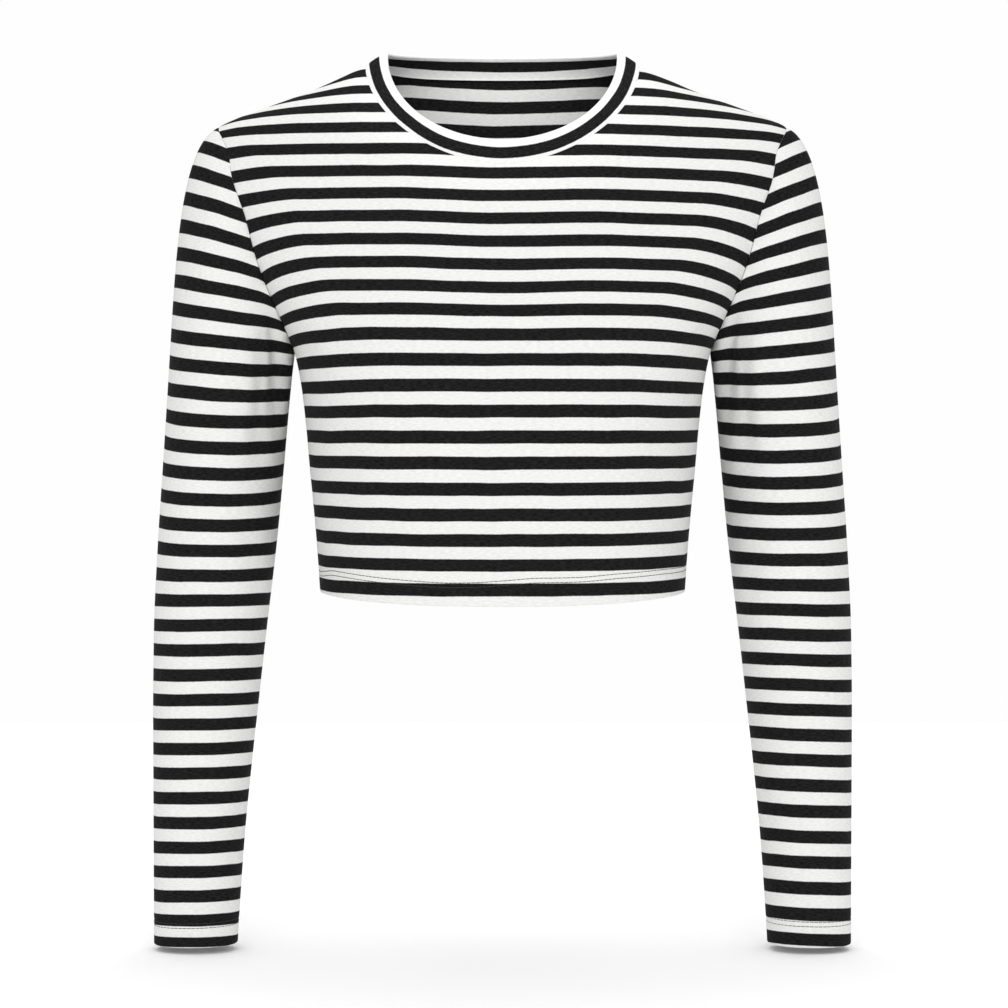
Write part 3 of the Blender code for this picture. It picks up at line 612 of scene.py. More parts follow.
def edge_way(along, normals, towards):
    """Unit vectors on the surface, out over its edge, on the side where towards points."""
    out = unit(np.cross(along, normals))
    return out * np.sign(dot(out, towards))


def close_edge(outer, normals, across, thickness):
    """Outer and inner edge points of a wall that ends at a seam, both on its own side of the seam.

    normals give the way through the wall, and across points out of the wall, over the seam.
    """
    inner = outer - normals * thickness
    over = dot(inner - outer, across) + SEAM_GAP / 2
    return outer - across * SEAM_GAP / 2, inner - across * np.maximum(over, 0)


def arm_loop(head_start, scale):
    """Armhole edge of the +X side as one loop: underarm, up the front, shoulder tip, down the back.

    head_start gives the direction in which the sleeve leaves each point. Returns the loop's points and the
    unit vectors across the seam, from body to sleeve, halfway between their surfaces.
    """
    points, normals = [], []
    for side, order in (("front", 1), ("back", -1)):
        turn, z = armhole_edge(side, scale)[::order].T
        points.append(body(side, turn, z)[:-1])
        normals.append(body_normal(side, turn, z)[:-1])
    points, normals = np.concatenate(points), np.concatenate(normals)
    along = unit(np.roll(points, -1, axis=0) - np.roll(points, 1, axis=0))
    edge_out = edge_way(along, normals, points - INSIDE_ARMHOLE)
    leaving = square_to(head_start, along)
    return points, unit(edge_out + leaving + normals - unit(np.cross(leaving, along)))


def sleeve_section(height, around):
    """Points of a sleeve section on the +X side. around: 0 inner side, 0.25 front, 0.5 outer, 0.75 back."""

    def sleeve(name, z):
        return float(read(SLEEVE, SLEEVE_COLUMNS, name, z))

    half_width = (sleeve("outer", height) - sleeve("inner", height)) / 2
    rise = half_width * math.tan(math.radians(sleeve("tilt_deg", height)))
    inner_end = np.array([sleeve("inner", height - rise), 0.0, height - rise])
    outer_end = np.array([sleeve("outer", height + rise), 0.0, height + rise])
    middle = (inner_end + outer_end) / 2 + [0.0, sleeve("middle_y", height), 0.0]
    reach = (outer_end - inner_end) / 2
    angle = 2 * math.pi * around
    c, s = np.cos(angle), np.sin(angle)
    c, s = (np.sign(share) * np.abs(share) ** (2 / SLEEVE_SQUARENESS) for share in (c, s))
    return middle - np.outer(c, reach) - np.outer(s, [0.0, sleeve("half_depth", height), 0.0])


def head_directions(around):
    """Where the sleeve's head heads as it leaves the armhole, and its two pulls."""
    lift = ((1 - np.cos(2 * math.pi * around)) / 2)[:, None]
    start = (1 - lift) * np.array(HEAD_LEAVES_UNDERARM) + lift * np.array(HEAD_LEAVES_TIP)
    start = start - np.outer(np.sin(2 * math.pi * around), [0.0, HEAD_FORE_AND_AFT, 0.0])
    return unit(start), *(low + (high - low) * lift for low, high in HEAD_PULLS)


def band_top(side, angle):
    """Upper edge of the neckband, angle 0 at the centre and 90 degrees at the neck point."""
    centre_y, centre_z, hollow = BAND_CENTRE[side]
    c = np.clip(np.cos(angle), 0, 1)
    z = BAND_SIDE_Z + (centre_z - BAND_SIDE_Z) * c
    return np.stack([BAND_HALF_WIDTH * np.sin(angle), centre_y * c**hollow, z], axis=-1)


def neck_seam(side, scale):
    """Half the neck seam, centre to neck point, by name.

    seam and top are matching points of the seam and of the band's upper edge. across points from body to
    band, facing out of the seam midway between the two surfaces, and normal out of the band.
    """
    run = neck_edge(side, scale)
    seam = body(side, run[:, 0], run[:, 1])
    fine = np.linspace(0, math.pi / 2, RUN_POINTS)
    at = evenly(band_top(side, fine), len(run) - 1, SHOULDER_CROWDING)
    top = band_top(side, np.interp(at, np.arange(len(fine)), fine))
    body_out = body_normal(side, run[:, 0], run[:, 1])
    whole = np.concatenate([mirrored(seam[1:2]), seam, seam[-2:-1] * [1, -1, 1]])
    along = unit(whole[2:] - whole[:-2])
    leaving = square_to(top - seam, along)
    normal = unit(np.cross(leaving, along))
    normal *= np.sign(dot(normal, body_out))
    across = unit(edge_way(along, body_out, top - seam) + leaving + body_out - normal)
    return {
        "seam": seam, "top": top, "across": across, "normal": normal,
        "facing": square_to(body_out + normal, across),
    }


# --- Folds and stripes on the cloth ---


def roll(distance, sink, length):
    """How far cloth goes down beside a seam or a row of stitches."""
    return -sink * np.exp(-((distance / length) ** 2))


def crease_height(table, columns, across, up, span=1.0):
    """Sum of the soft creases at each point, whose place on the cloth is (across, up). Troughs are below 0.

    span turns the table's first column into millimetres.
    """
    height = np.zeros(across.shape)
    for row in table:
        crease = dict(zip(columns[2:], row[2:]))
        lean = math.radians(crease["lean_deg"])
        dx, dz = (across - row[0]) * span, up - row[1]
        along = dx * math.sin(lean) + dz * math.cos(lean)
        beside = dx * math.cos(lean) - dz * math.sin(lean)
        end = np.clip(np.abs(along) / (crease["length"] / 2), 0, 1)
        cross = np.clip(np.abs(beside) / crease["half_width"], 0, 1)
        height -= crease["depth"] * (1 - end**2) ** 2 * np.cos(cross * math.pi / 2) ** 2
    return height


def pucker_height(table, up, from_seam):
    """Small waves in the cloth that start at a seam and die out away from it."""
    height = np.zeros(up.shape)
    for row in table:
        pucker = dict(zip(PUCKER_COLUMNS, row))
        beside = np.abs(up + PUCKER_FALL * from_seam - pucker["height"]) / pucker["half_width"]
        away = np.clip(from_seam / pucker["reach"], 0, 1)
        height -= pucker["depth"] * np.cos(np.clip(beside, 0, 1) * math.pi / 2) ** 2 * 4 * away * (1 - away)
    return height


def over_shoulder(x, z):
    """How much further the cloth runs up to each point over the back of the shoulder than at the centre."""
    heights = np.linspace(SHOULDER_TIP_Z, NECK_POINT_Z, OVER_SHOULDER_POINTS)
    width, depth = (read(BODY, BODY_COLUMNS, name, heights) for name in ("half_width", "back"))
    y = depth * np.sqrt(np.clip(1 - (np.abs(x)[..., None] / width) ** 2, 0, 1))
    further = np.hypot(np.diff(y), np.diff(heights)) - np.hypot(np.diff(depth), np.diff(heights))
    further = np.concatenate([np.zeros(y.shape[:-1] + (1,)), np.cumsum(further, axis=-1)], axis=-1)
    at = np.clip((z - heights[0]) / (heights[1] - heights[0]), 0, len(heights) - 1.001)
    low = np.floor(at).astype(int)
    below, above = (np.take_along_axis(further, (low + k)[..., None], axis=-1)[..., 0] for k in (0, 1))
    return below + (above - below) * (at - low)


def body_stripes(side, points, from_armhole):
    """Stripe count at each point of the body."""
    x, z = points[..., 0], points[..., 2]
    aside = np.abs(x)
    more = np.where(x > 0, np.array(LEFT_ARMHOLE_MORE)[:, None, None], 1.0)
    reach = read(ARMHOLE_DROOP, DROOP_COLUMNS, "reach", z) * more[1]
    near = np.clip(1 - from_armhole / reach, 0, 1) ** DROOP_ROUNDNESS
    droop = near * read(ARMHOLE_DROOP, DROOP_COLUMNS, "droop", z) * more[0]
    droop = droop + read(SIDE_DROOP, SIDE_DROOP_COLUMNS, "droop", z) * smooth(*SIDE_DROOP_WIDTHS, aside)
    droop = droop + LEFT_SLOPE * np.maximum(x - LEFT_SLOPE_FROM, 0) * smooth(*LEFT_SLOPE_HEIGHTS, z)
    further = 0.0
    if side == "front":
        centre = np.clip(1 - (x / CENTRE_SINK_REACH) ** 2, 0, 1) ** 2
        droop = droop + CENTRE_SINK * centre * smooth(*CENTRE_SINK_HEIGHTS, z)
        seam_z, seam_x = np.array([row[:2] for row in BODY[::-1] if row[0] >= SHOULDER_TIP_Z]).T
        seam_z = np.interp(aside, seam_x, seam_z, left=np.inf)
        at_seam = np.exp(-np.maximum(seam_z - z, 0) / SHOULDER_DROOP_REACH)
        droop = droop + SHOULDER_DROOP * at_seam * smooth(*SHOULDER_DROOP_WIDTHS, aside)
    else:
        droop = droop - BACK_RISE * smooth(0, BACK_RISE_REACH, aside) * smooth(*BACK_RISE_HEIGHTS, z)
        further = over_shoulder(x, z) * smooth(*OVER_SHOULDER_WIDTHS, aside)
    return read(BODY_STRIPES[side], STRIPE_COLUMNS, "stripes_up", z + droop) + further / STRIPE_STEP


def sleeve_stripes(name, points, from_armhole):
    """Stripe count at each point of a sleeve, whose stripes lie in tilted rings."""
    x, y, z = np.abs(points[..., 0]), points[..., 1], points[..., 2]
    hook = SEAM_HOOK * np.exp(-from_armhole / SEAM_HOOK_REACH)
    z = z + hook * (1 - smooth(*SEAM_HOOK_HEIGHTS, z))
    height = z.copy()
    for _ in range(RING_ROUNDS):
        tilt, pitch = (
            np.tan(np.radians(read(SLEEVE_RINGS[name], RING_COLUMNS, way, height)))
            for way in ("tilt_deg", "pitch_deg")
        )
        depth, middle = (read(SLEEVE, SLEEVE_COLUMNS, what, height) for what in ("half_depth", "middle_y"))
        height = z - tilt * (x - RING_REFERENCE_X) - pitch * (y - middle + depth)
    return read(SLEEVE_RINGS[name], RING_COLUMNS, "stripes_up", height)


# --- Meshes ---


def add_mesh(name, vertices, faces, material, corners_uv=None):
    """A mesh object from points in millimetres. corners_uv holds each face corner's cloth coordinates."""
    mesh = bpy.data.meshes.new(name)
    mesh.from_pydata((np.asarray(vertices) * MM).tolist(), [], faces)
    if corners_uv is not None:
        mesh.uv_layers.new(name="cloth").data.foreach_set("uv", np.asarray(corners_uv, float).ravel())
    mesh.materials.append(material)
    mesh.shade_smooth()
    mesh.set_sharp_from_angle(angle=math.radians(SHARP_DEG))
    mesh.update()
    obj = bpy.data.objects.new(name, mesh)
    bpy.context.scene.collection.objects.link(obj)
    return obj


def cloth_shell(name, outer, inner, cells, uv, inner_uv, material):
    """A closed shell between two grids of points. cells says which cells of the grids exist.

    Where uv has a column more than the points, its last column is the first one again, so that the cloth
    coordinates don't run backwards there.
    """
    rows, columns = outer.shape[:2]
    wide = uv.shape[1]
    r, c = np.nonzero(cells)
    low = r * wide + c
    rings = np.stack([low, low + 1, low + wide + 1, low + wide], axis=1)
    vertex = (np.arange(rows)[:, None] * columns + np.arange(wide) % columns).ravel()
    starts, ends = rings.ravel(), np.roll(rings, -1, axis=1).ravel()
    a, b = vertex[starts], vertex[ends]
    open_edge = ~np.isin(a * rows * columns + b, b * rows * columns + a)
    a, b = starts[open_edge], ends[open_edge]
    count = rows * wide
    faces = np.concatenate([rings, count + rings[:, ::-1], np.stack([b, a, count + a, count + b], axis=1)])
    corners = np.concatenate([uv.reshape(-1, 2), inner_uv.reshape(-1, 2)])[faces]
    faces = np.concatenate([vertex, rows * columns + vertex])[faces]
    points = np.concatenate([outer.reshape(-1, 3), inner.reshape(-1, 3)])
    quads = points[vertex[rings]]
    facing = np.cross(quads[:, 2] - quads[:, 0], quads[:, 3] - quads[:, 1])
    through = (outer - inner).reshape(-1, 3)[vertex[rings[:, 0]]]
    if np.sum(facing * through) < 0:
        faces, corners = faces[:, ::-1], corners[:, ::-1]
    kept = np.unique(faces)
    new = np.zeros(len(points), int)
    new[kept] = np.arange(len(kept))
    return add_mesh(name, points[kept], new[faces].tolist(), material, corners)


def with_lines(count, beside):
    """Whole numbers up to count, with extra lines beside seams. beside has each seam's number and side."""
    extra = [seam + way * share for seam, way in beside for share in SEAM_LINES]
    return np.unique(np.concatenate([np.arange(count + 1.0), extra]))


def lengthened(grid, count):
    """The grid with count copies of its first row in front of it."""
    return np.concatenate([np.repeat(grid[:1], count, axis=0), grid])


def rounded_edge(outer, inner):
    """Rows that round off a folded edge below outer and inner, lowest first."""
    half = (outer - inner) / 2
    radius = np.linalg.norm(half, axis=-1, keepdims=True)
    rows = []
    for angle in np.radians(HEM_ROUNDING):
        drop = radius * math.sin(angle) * [0.0, 0.0, -1.0]
        in_by = half * (1 - math.cos(angle))
        rows.append((outer - in_by + drop, inner + in_by + drop))
    return [np.stack(layer) for layer in zip(*rows)]


def needle_rows(sewing, name):
    """Mean heights of the two needle rows above the edge of a hem or a cuff, in millimetres."""
    upper = {"sleeve_left": sewing.left_cuff_depth, "sleeve_right": sewing.right_cuff_depth}
    upper = upper.get(name, sewing.hem_depth)
    return upper / MM, (upper - sewing.needle_gap) / MM


def hem_wander(side, x):
    """How far the hem's needle rows run above their mean height."""
    return read(HEM_WANDER[side], HEM_WANDER_COLUMNS, "rise", x)


def raise_cloth(name, surface, normals, height, from_seam, above_edge, wander, cloth, sewing):
    """Outer and inner points of the cloth, drawn in by seams and stitching, and its thickness."""
    needles = needle_rows(sewing, name)
    height = height + roll(from_seam, SEAM_SINK, SEAM_ROLL)
    for row in needles:
        height = height + roll(above_edge - row - wander, STITCH_SINK, STITCH_ROLL)
    outer = surface + normals * height[..., None]
    layers = np.where(above_edge < needles[0] + HEM_SELVEDGE, HEM_LAYERS, 1.0)
    wall = layers[..., None] * cloth.thickness / MM
    return outer, outer - normals * wall, wall


def whole_width(grid, sign=1.0):
    """A panel's half grid with its mirror image in front of it. Points are mirrored in x with sign 1."""
    other = mirrored(grid[:, :0:-1]) if grid.ndim == 3 else grid[:, :0:-1] * sign
    return np.concatenate([other, grid], axis=1)


def panel_grid(side, neck):
    """Half a panel's turn and z, with extra lines beside its seams and with the hem's rows.

    Then the ways over the armhole and neck seams, the ways out of the body, and which cells exist. The last
    three say which points are on a side or shoulder seam, on the armhole or the neck, and on the neck.
    """
    neck_c, arm_c, last_c, arm_r, neck_r, last_r = panel_marks(FINER)
    turn, z, cells = half_panel(side, FINER)
    # ways across the armhole and neck seams, kept on the grid while it gets its extra lines
    around = np.arange(ARM_LOOP_STEPS) / ARM_LOOP_STEPS
    loop_across = arm_loop(head_directions(around)[0], FINER)[1]
    half_way = np.arange(ARM_LOOP_STEPS // 2 + 1)
    across, facing = np.zeros(turn.shape + (3,)), body_normal(side, turn, z)
    lay_on_edges(across, FINER, neck["across"], loop_across[half_way if side == "front" else -half_way])
    lay_on_edges(facing, FINER, neck["facing"])
    rows = with_lines(last_r, ((arm_r, -1), (neck_r, -1), (last_r, -1)))
    columns = with_lines(last_c, ((neck_c, 1), (arm_c, -1), (last_c, -1)))
    turn, z, across, facing = (resample(grid, rows, columns) for grid in (turn, z, across, facing))
    cells = cells[np.floor(rows[:-1]).astype(int)][:, np.floor(columns[:-1]).astype(int)]
    # the hem's rows, below the grid
    rises = np.array(HEM_ROWS[:-1])[:, None]
    z = np.concatenate([hem_height(side, turn[0])[None, :] + rises, z])
    turn, cells, across, facing = (lengthened(grid, len(rises)) for grid in (turn, cells, across, facing))
    rows = np.concatenate([np.full(len(rises), -1.0), rows])
    at_row, at_column = np.meshgrid(rows, columns, indexing="ij")
    side_seam = (at_column == last_c) & (at_row <= arm_r)
    shoulder_seam = (at_row == last_r) & (at_column >= neck_c) & (at_column <= arm_c)
    at_arm = ((at_row == arm_r) & (at_column >= arm_c)) | ((at_column == arm_c) & (at_row >= arm_r))
    at_neck = ((at_row == neck_r) & (at_column <= neck_c)) | ((at_column == neck_c) & (at_row >= neck_r))
    return turn, z, across, facing, cells, side_seam | shoulder_seam, at_arm | at_neck, at_neck


def panel(side, cloth, sewing):
    """Outer and inner points, cells and cloth coordinates of a whole panel, columns from -X to +X."""
    neck = neck_seam(side, FINER)
    turn, z, across, facing, cells, flat_seam, sewn, at_neck = panel_grid(side, neck)
    surface, normals = body(side, turn, z), body_normal(side, turn, z)
    normals[at_neck] = unit(facing[at_neck])
    along = whole_width(girth_to(side, turn, z), -1.0)
    above_hem = whole_width(z - hem_height(side, turn))
    surface, normals, across = (whole_width(grid) for grid in (surface, normals, across))
    flat_seam, sewn = (whole_width(grid) > 0 for grid in (flat_seam, sewn))
    cells = np.concatenate([cells[:, ::-1], cells], axis=1)
    # creases, seams and stitching in the cloth
    armhole = body(side, *armhole_edge(side, FINER).T)
    armholes = [armhole, mirrored(armhole)]
    from_armhole = distance_to(armholes, surface)
    from_seam = distance_to(armholes + [surface[flat_seam], neck["seam"], mirrored(neck["seam"])], surface)
    height = crease_height(BODY_CREASES[side], BODY_CREASE_COLUMNS, surface[..., 0], surface[..., 2])
    height = height * smooth(*BODY_SEAMS_ARE_FLAT, from_seam) * smooth(*HEM_IS_FLAT, above_hem)
    height = height + pucker_height(BODY_PUCKERS, surface[..., 2], from_armhole)
    wander = hem_wander(side, surface[..., 0])
    outer, inner, wall = raise_cloth(
        side, surface, normals, height, from_seam, above_hem, wander, cloth, sewing
    )
    outer[sewn], inner[sewn] = close_edge(outer[sewn], normals[sewn], across[sewn], wall[sewn])
    low_outer, low_inner = rounded_edge(outer[0], inner[0])
    outer, inner = np.concatenate([low_outer, outer]), np.concatenate([low_inner, inner])
    uv = np.stack([along, body_stripes(side, surface, from_armhole) * cloth.stripe_repeat / MM], axis=-1)
    flat_seam, cells, uv = (lengthened(grid, len(HEM_ROUNDING)) for grid in (flat_seam, cells, uv))
    for grid in (outer, inner):
        grid[flat_seam, 1] = (SEAM_GAP if side == "back" else -SEAM_GAP) / 2
    return outer, inner, cells, uv, uv


def sleeve_grid():
    """Bare surface of the +X sleeve, opened along its underarm seam, rows from armhole to cuff.

    Then its normals, the ways round it, the ways over the armhole seam, and how far around each column is.
    """
    around = np.arange(ARM_LOOP_STEPS) / ARM_LOOP_STEPS
    start, pull_0, pull_1 = head_directions(around)
    loop, across = arm_loop(start, FINER)
    top = sleeve_section(BICEPS_Z, around)
    down = unit(sleeve_section(BICEPS_Z - 2.0, around) - top)
    head = [
        bezier((loop, loop + start * pull_0, top - down * pull_1, top), v)
        for v in np.linspace(0, 1, HEAD_ROWS + 1)[:-1]
    ]
    heights = np.linspace(BICEPS_Z, CUFF_Z + HEM_ROWS[-1], TUBE_ROWS)
    heights = np.concatenate([heights, CUFF_Z + np.array(HEM_ROWS[-2::-1])])
    grid = np.array(head + [sleeve_section(z, around) for z in heights])
    round_rows = np.roll(grid, -1, axis=1) - np.roll(grid, 1, axis=1)
    normals = unit(np.cross(np.gradient(grid, axis=0), round_rows))
    # opened along the underarm seam, with extra lines beside it and beside the armhole
    rows = with_lines(len(grid) - 1, ((0, 1),))
    columns = with_lines(ARM_LOOP_STEPS, ((0, 1), (ARM_LOOP_STEPS, -1)))
    surface, normals, tangents = (
        resample(np.concatenate([g, g[:, :1]], axis=1), rows, columns) for g in (grid, normals, round_rows)
    )
    across = resample(np.stack([np.concatenate([across, across[:1]])] * 2), [0], columns)[0]
    return surface, unit(normals), unit(tangents), across, columns / ARM_LOOP_STEPS


def sleeve(name, cloth, sewing):
    """Outer and inner points, cells and cloth coordinates of a sleeve, rows from armhole to cuff."""
    surface, normals, tangents, across, around = sleeve_grid()
    at = np.broadcast_to(around, surface.shape[:2])
    above_cuff = surface[..., 2] - CUFF_Z
    from_armhole = distance_to([surface[0]], surface)
    from_seam = np.minimum(from_armhole, distance_to([surface[:, 0]], surface))
    height = sum(
        crease_height(
            SLEEVE_CREASES[name], SLEEVE_CREASE_COLUMNS, at + shift, surface[..., 2], SLEEVE_GIRTH
        )
        for shift in (-1, 0, 1)
    )
    height = height * smooth(*SLEEVE_SEAMS_ARE_FLAT, from_seam) * smooth(*HEM_IS_FLAT, above_cuff)
    height = height + pucker_height(SLEEVE_PUCKERS, surface[..., 2], from_armhole)
    outer, inner, wall = raise_cloth(
        name, surface, normals, height, from_seam, above_cuff, 0.0, cloth, sewing
    )
    inner[-1, :, 2] = outer[-1, :, 2]
    outer[0], inner[0] = close_edge(outer[0], normals[0], -across, wall[0])
    low_outer, low_inner = rounded_edge(outer[-1], inner[-1])
    outer, inner = np.concatenate([outer, low_outer[::-1]]), np.concatenate([inner, low_inner[::-1]])
    run = np.linalg.norm(np.diff(surface, axis=1), axis=-1)
    along = np.concatenate([np.zeros((len(surface), 1)), np.cumsum(run, axis=1)], axis=1)
    front_line = np.argmin(np.abs(around - 0.25))
    along = along - along[:, front_line : front_line + 1]
    # the stripes run on round the folded edge
    surface, along, from_armhole, tangents = (
        lengthened(grid[::-1], len(HEM_ROUNDING))[::-1] for grid in (surface, along, from_armhole, tangents)
    )
    drops = np.sin(np.radians(HEM_ROUNDING[::-1]))[:, None] * wall[-1, :, 0] / 2
    surface[-len(drops) :, :, 2] -= drops
    for column, way in ((0, 1), (-1, -1)):
        for grid in (outer, inner):
            grid[:, column] += tangents[:, column] * way * SEAM_GAP / 2
    if name == "sleeve_right":
        surface, outer, inner = mirrored(surface), mirrored(outer), mirrored(inner)
    uv = np.stack([along, sleeve_stripes(name, surface, from_armhole) * cloth.stripe_repeat / MM], axis=-1)
    return outer, inner, np.ones((len(outer) - 1, outer.shape[1] - 1), bool), uv, uv


def neckband(name, cloth, sewing):
    """Outer and inner points, cells and cloth coordinates of the folded neckband, from the centre back."""
    front, back = neck_seam("front", FINER), neck_seam("back", FINER)
    loop = {}
    for what in front:
        half = np.concatenate([back[what][:-1], front[what][::-1]])
        loop[what] = np.concatenate([half, mirrored(half[-2:0:-1])])
    seam, top, normal = loop["seam"], loop["top"], loop["normal"]
    wall = BAND_LAYERS * cloth.thickness / MM
    rise = np.linalg.norm(top - seam, axis=-1)[:, None]
    up = (top - seam) / rise
    straight = rise - wall / 2
    shares = np.array(BAND_ROWS)[:, None, None]
    distance = shares * straight
    swell = BAND_CROWN * 4 * shares * (1 - shares) + roll(distance, SEAM_SINK, SEAM_ROLL)
    arc = np.radians(sorted(HEM_ROUNDING))[:, None, None]
    middle = seam + up * (straight + np.sin(arc) * wall / 2) - normal * wall / 2
    face = seam + up * distance + normal * swell
    outer = np.concatenate([face, middle + normal * np.cos(arc) * wall / 2])
    inner = np.concatenate([face - normal * wall, middle - normal * np.cos(arc) * wall / 2])
    outer[0], inner[0] = close_edge(outer[0], loop["facing"], -loop["across"], wall)
    below_edge = np.concatenate([rise - distance, wall / 2 * (1 - np.sin(arc)) + 0 * rise])[..., 0]
    black = cloth.black_share * cloth.stripe_repeat / MM
    run = np.linalg.norm(np.roll(seam, -1, axis=0) - seam, axis=-1)
    below_edge = np.concatenate([below_edge, below_edge[:, :1]], axis=1)
    along = np.broadcast_to(np.concatenate([[0.0], np.cumsum(run)]), below_edge.shape)
    uvs = [
        np.stack([along, (white - below_edge) * black / height], axis=-1) for white, height in BAND_STRIPES
    ]
    return outer, inner, np.ones((len(outer) - 1, outer.shape[1]), bool), *uvs


def stitches(path, normals, sewing):
    """Straight stitches along a run of points on the cloth. Their ends dive into it."""
    steps = np.linalg.norm(np.diff(path, axis=0), axis=1)
    along = np.concatenate([[0], np.cumsum(steps)])
    pitch = (sewing.stitch_length + sewing.stitch_space) / MM
    count = int(along[-1] / pitch)
    radius = sewing.thread_thickness / MM / 2
    place, thickness, height = np.array(STITCH_STATIONS).T
    middles = (np.arange(count) + 0.5) * along[-1] / count
    at = middles[:, None] + place * sewing.stitch_length / MM
    centre, out = (
        np.stack([np.interp(at, along, run[:, k]) for k in range(3)], axis=-1) for run in (path, normals)
    )
    out = unit(out)
    beside = unit(np.cross(unit(np.gradient(centre, axis=1)), out))
    centre = centre + out * (height[:, None] * radius)
    sides, stations = STITCH_SIDES, len(place)
    turn = np.arange(sides)[:, None] * 2 * math.pi / sides
    spread = (thickness * radius)[:, None, None]
    spokes = np.cos(turn) * beside[:, :, None] + np.sin(turn) * out[:, :, None]
    rings = centre[:, :, None] + spread * spokes
    stitch = [
        [low + s, low + (s + 1) % sides, low + sides + (s + 1) % sides, low + sides + s]
        for low in range(0, (stations - 1) * sides, sides)
        for s in range(sides)
    ]
    stitch += [list(range(sides))[::-1], list(range((stations - 1) * sides, stations * sides))]
    firsts = range(0, count * stations * sides, stations * sides)
    return rings.reshape(-1, 3), [[first + v for v in face] for first in firsts for face in stitch]


def sew(name, rows, sewing):
    """Rows of stitches as one object. rows holds each row's points and normals."""
    vertices, faces = [], []
    for path, normals in rows:
        points, row_faces = stitches(path - normals * STITCH_SINK, normals, sewing)
        faces += [[v + len(vertices) for v in face] for face in row_faces]
        vertices += list(points)
    return add_mesh(name, vertices, faces, spun_polyester_thread(sewing))


def hem_rows(side, sewing):
    """The needle rows of one panel's hem, from -X to +X."""
    turn = np.linspace(0, 1, HEM_POINTS)[None]
    rows = []
    for rise in needle_rows(sewing, side):
        halves = []
        for sign in (-1.0, 1.0):
            z = hem_height(side, turn) + rise
            z = z + hem_wander(side, sign * body(side, turn, z)[..., 0])
            halves.append([form(side, turn, z)[0] * [sign, 1, 1] for form in (body, body_normal)])
        rows.append([np.concatenate([low[:0:-1], high]) for low, high in zip(*halves)])
    return rows


def cuff_rows(name, sewing):
    """The needle rows of one cuff."""
    around = np.arange(CUFF_POINTS + 1) / CUFF_POINTS
    rows = []
    for rise in needle_rows(sewing, name):
        path, above = (sleeve_section(CUFF_Z + rise + up, around) for up in (0.0, 1.0))
        forward = np.roll(path[:-1], -1, axis=0) - np.roll(path[:-1], 1, axis=0)
        forward = np.concatenate([forward, forward[:1]])
        rows.append([path, unit(np.cross(path - above, forward))])
    if name == "sleeve_right":
        rows = [[mirrored(grid) for grid in row] for row in rows]
    return rows


# --- Materials ---


def linear(code):
    """Linear RGB of an sRGB hex colour such as #F2F2F0."""
    shares = [int(code[i : i + 2], 16) / 255 for i in (1, 3, 5)]
    return tuple(c / 12.92 if c <= 0.04045 else ((c + 0.055) / 1.055) ** 2.4 for c in shares)


def add_node(tree, kind, inputs, **settings):
    """Adds a shader node. An input, by name or number, is a value, a socket or a node's first output."""
    made = tree.nodes.new("ShaderNode" + kind)
    for name, value in settings.items():
        setattr(made, name, value)
    for key, value in inputs.items():
        if isinstance(value, bpy.types.Node):
            value = value.outputs[0]
        if isinstance(value, bpy.types.NodeSocket):
            tree.links.new(value, made.inputs[key])
        else:
            made.inputs[key].default_value = value
    return made


def new_tree(holder):
    """The node tree of a material or a world, emptied."""
    holder.use_nodes = True
    holder.node_tree.nodes.clear()
    return holder.node_tree


def coated(name, **looks):
    """A material with one Principled shader of even looks."""
    material = bpy.data.materials.new(name)
    tree = new_tree(material)
    inputs = {key.replace("_", " "): value for key, value in looks.items()}
    add_node(tree, "OutputMaterial", {0: add_node(tree, "BsdfPrincipled", inputs)})
    return material


def shaded(colour, share):
    return (*[min(c * share, 1.0) for c in colour], 1.0)


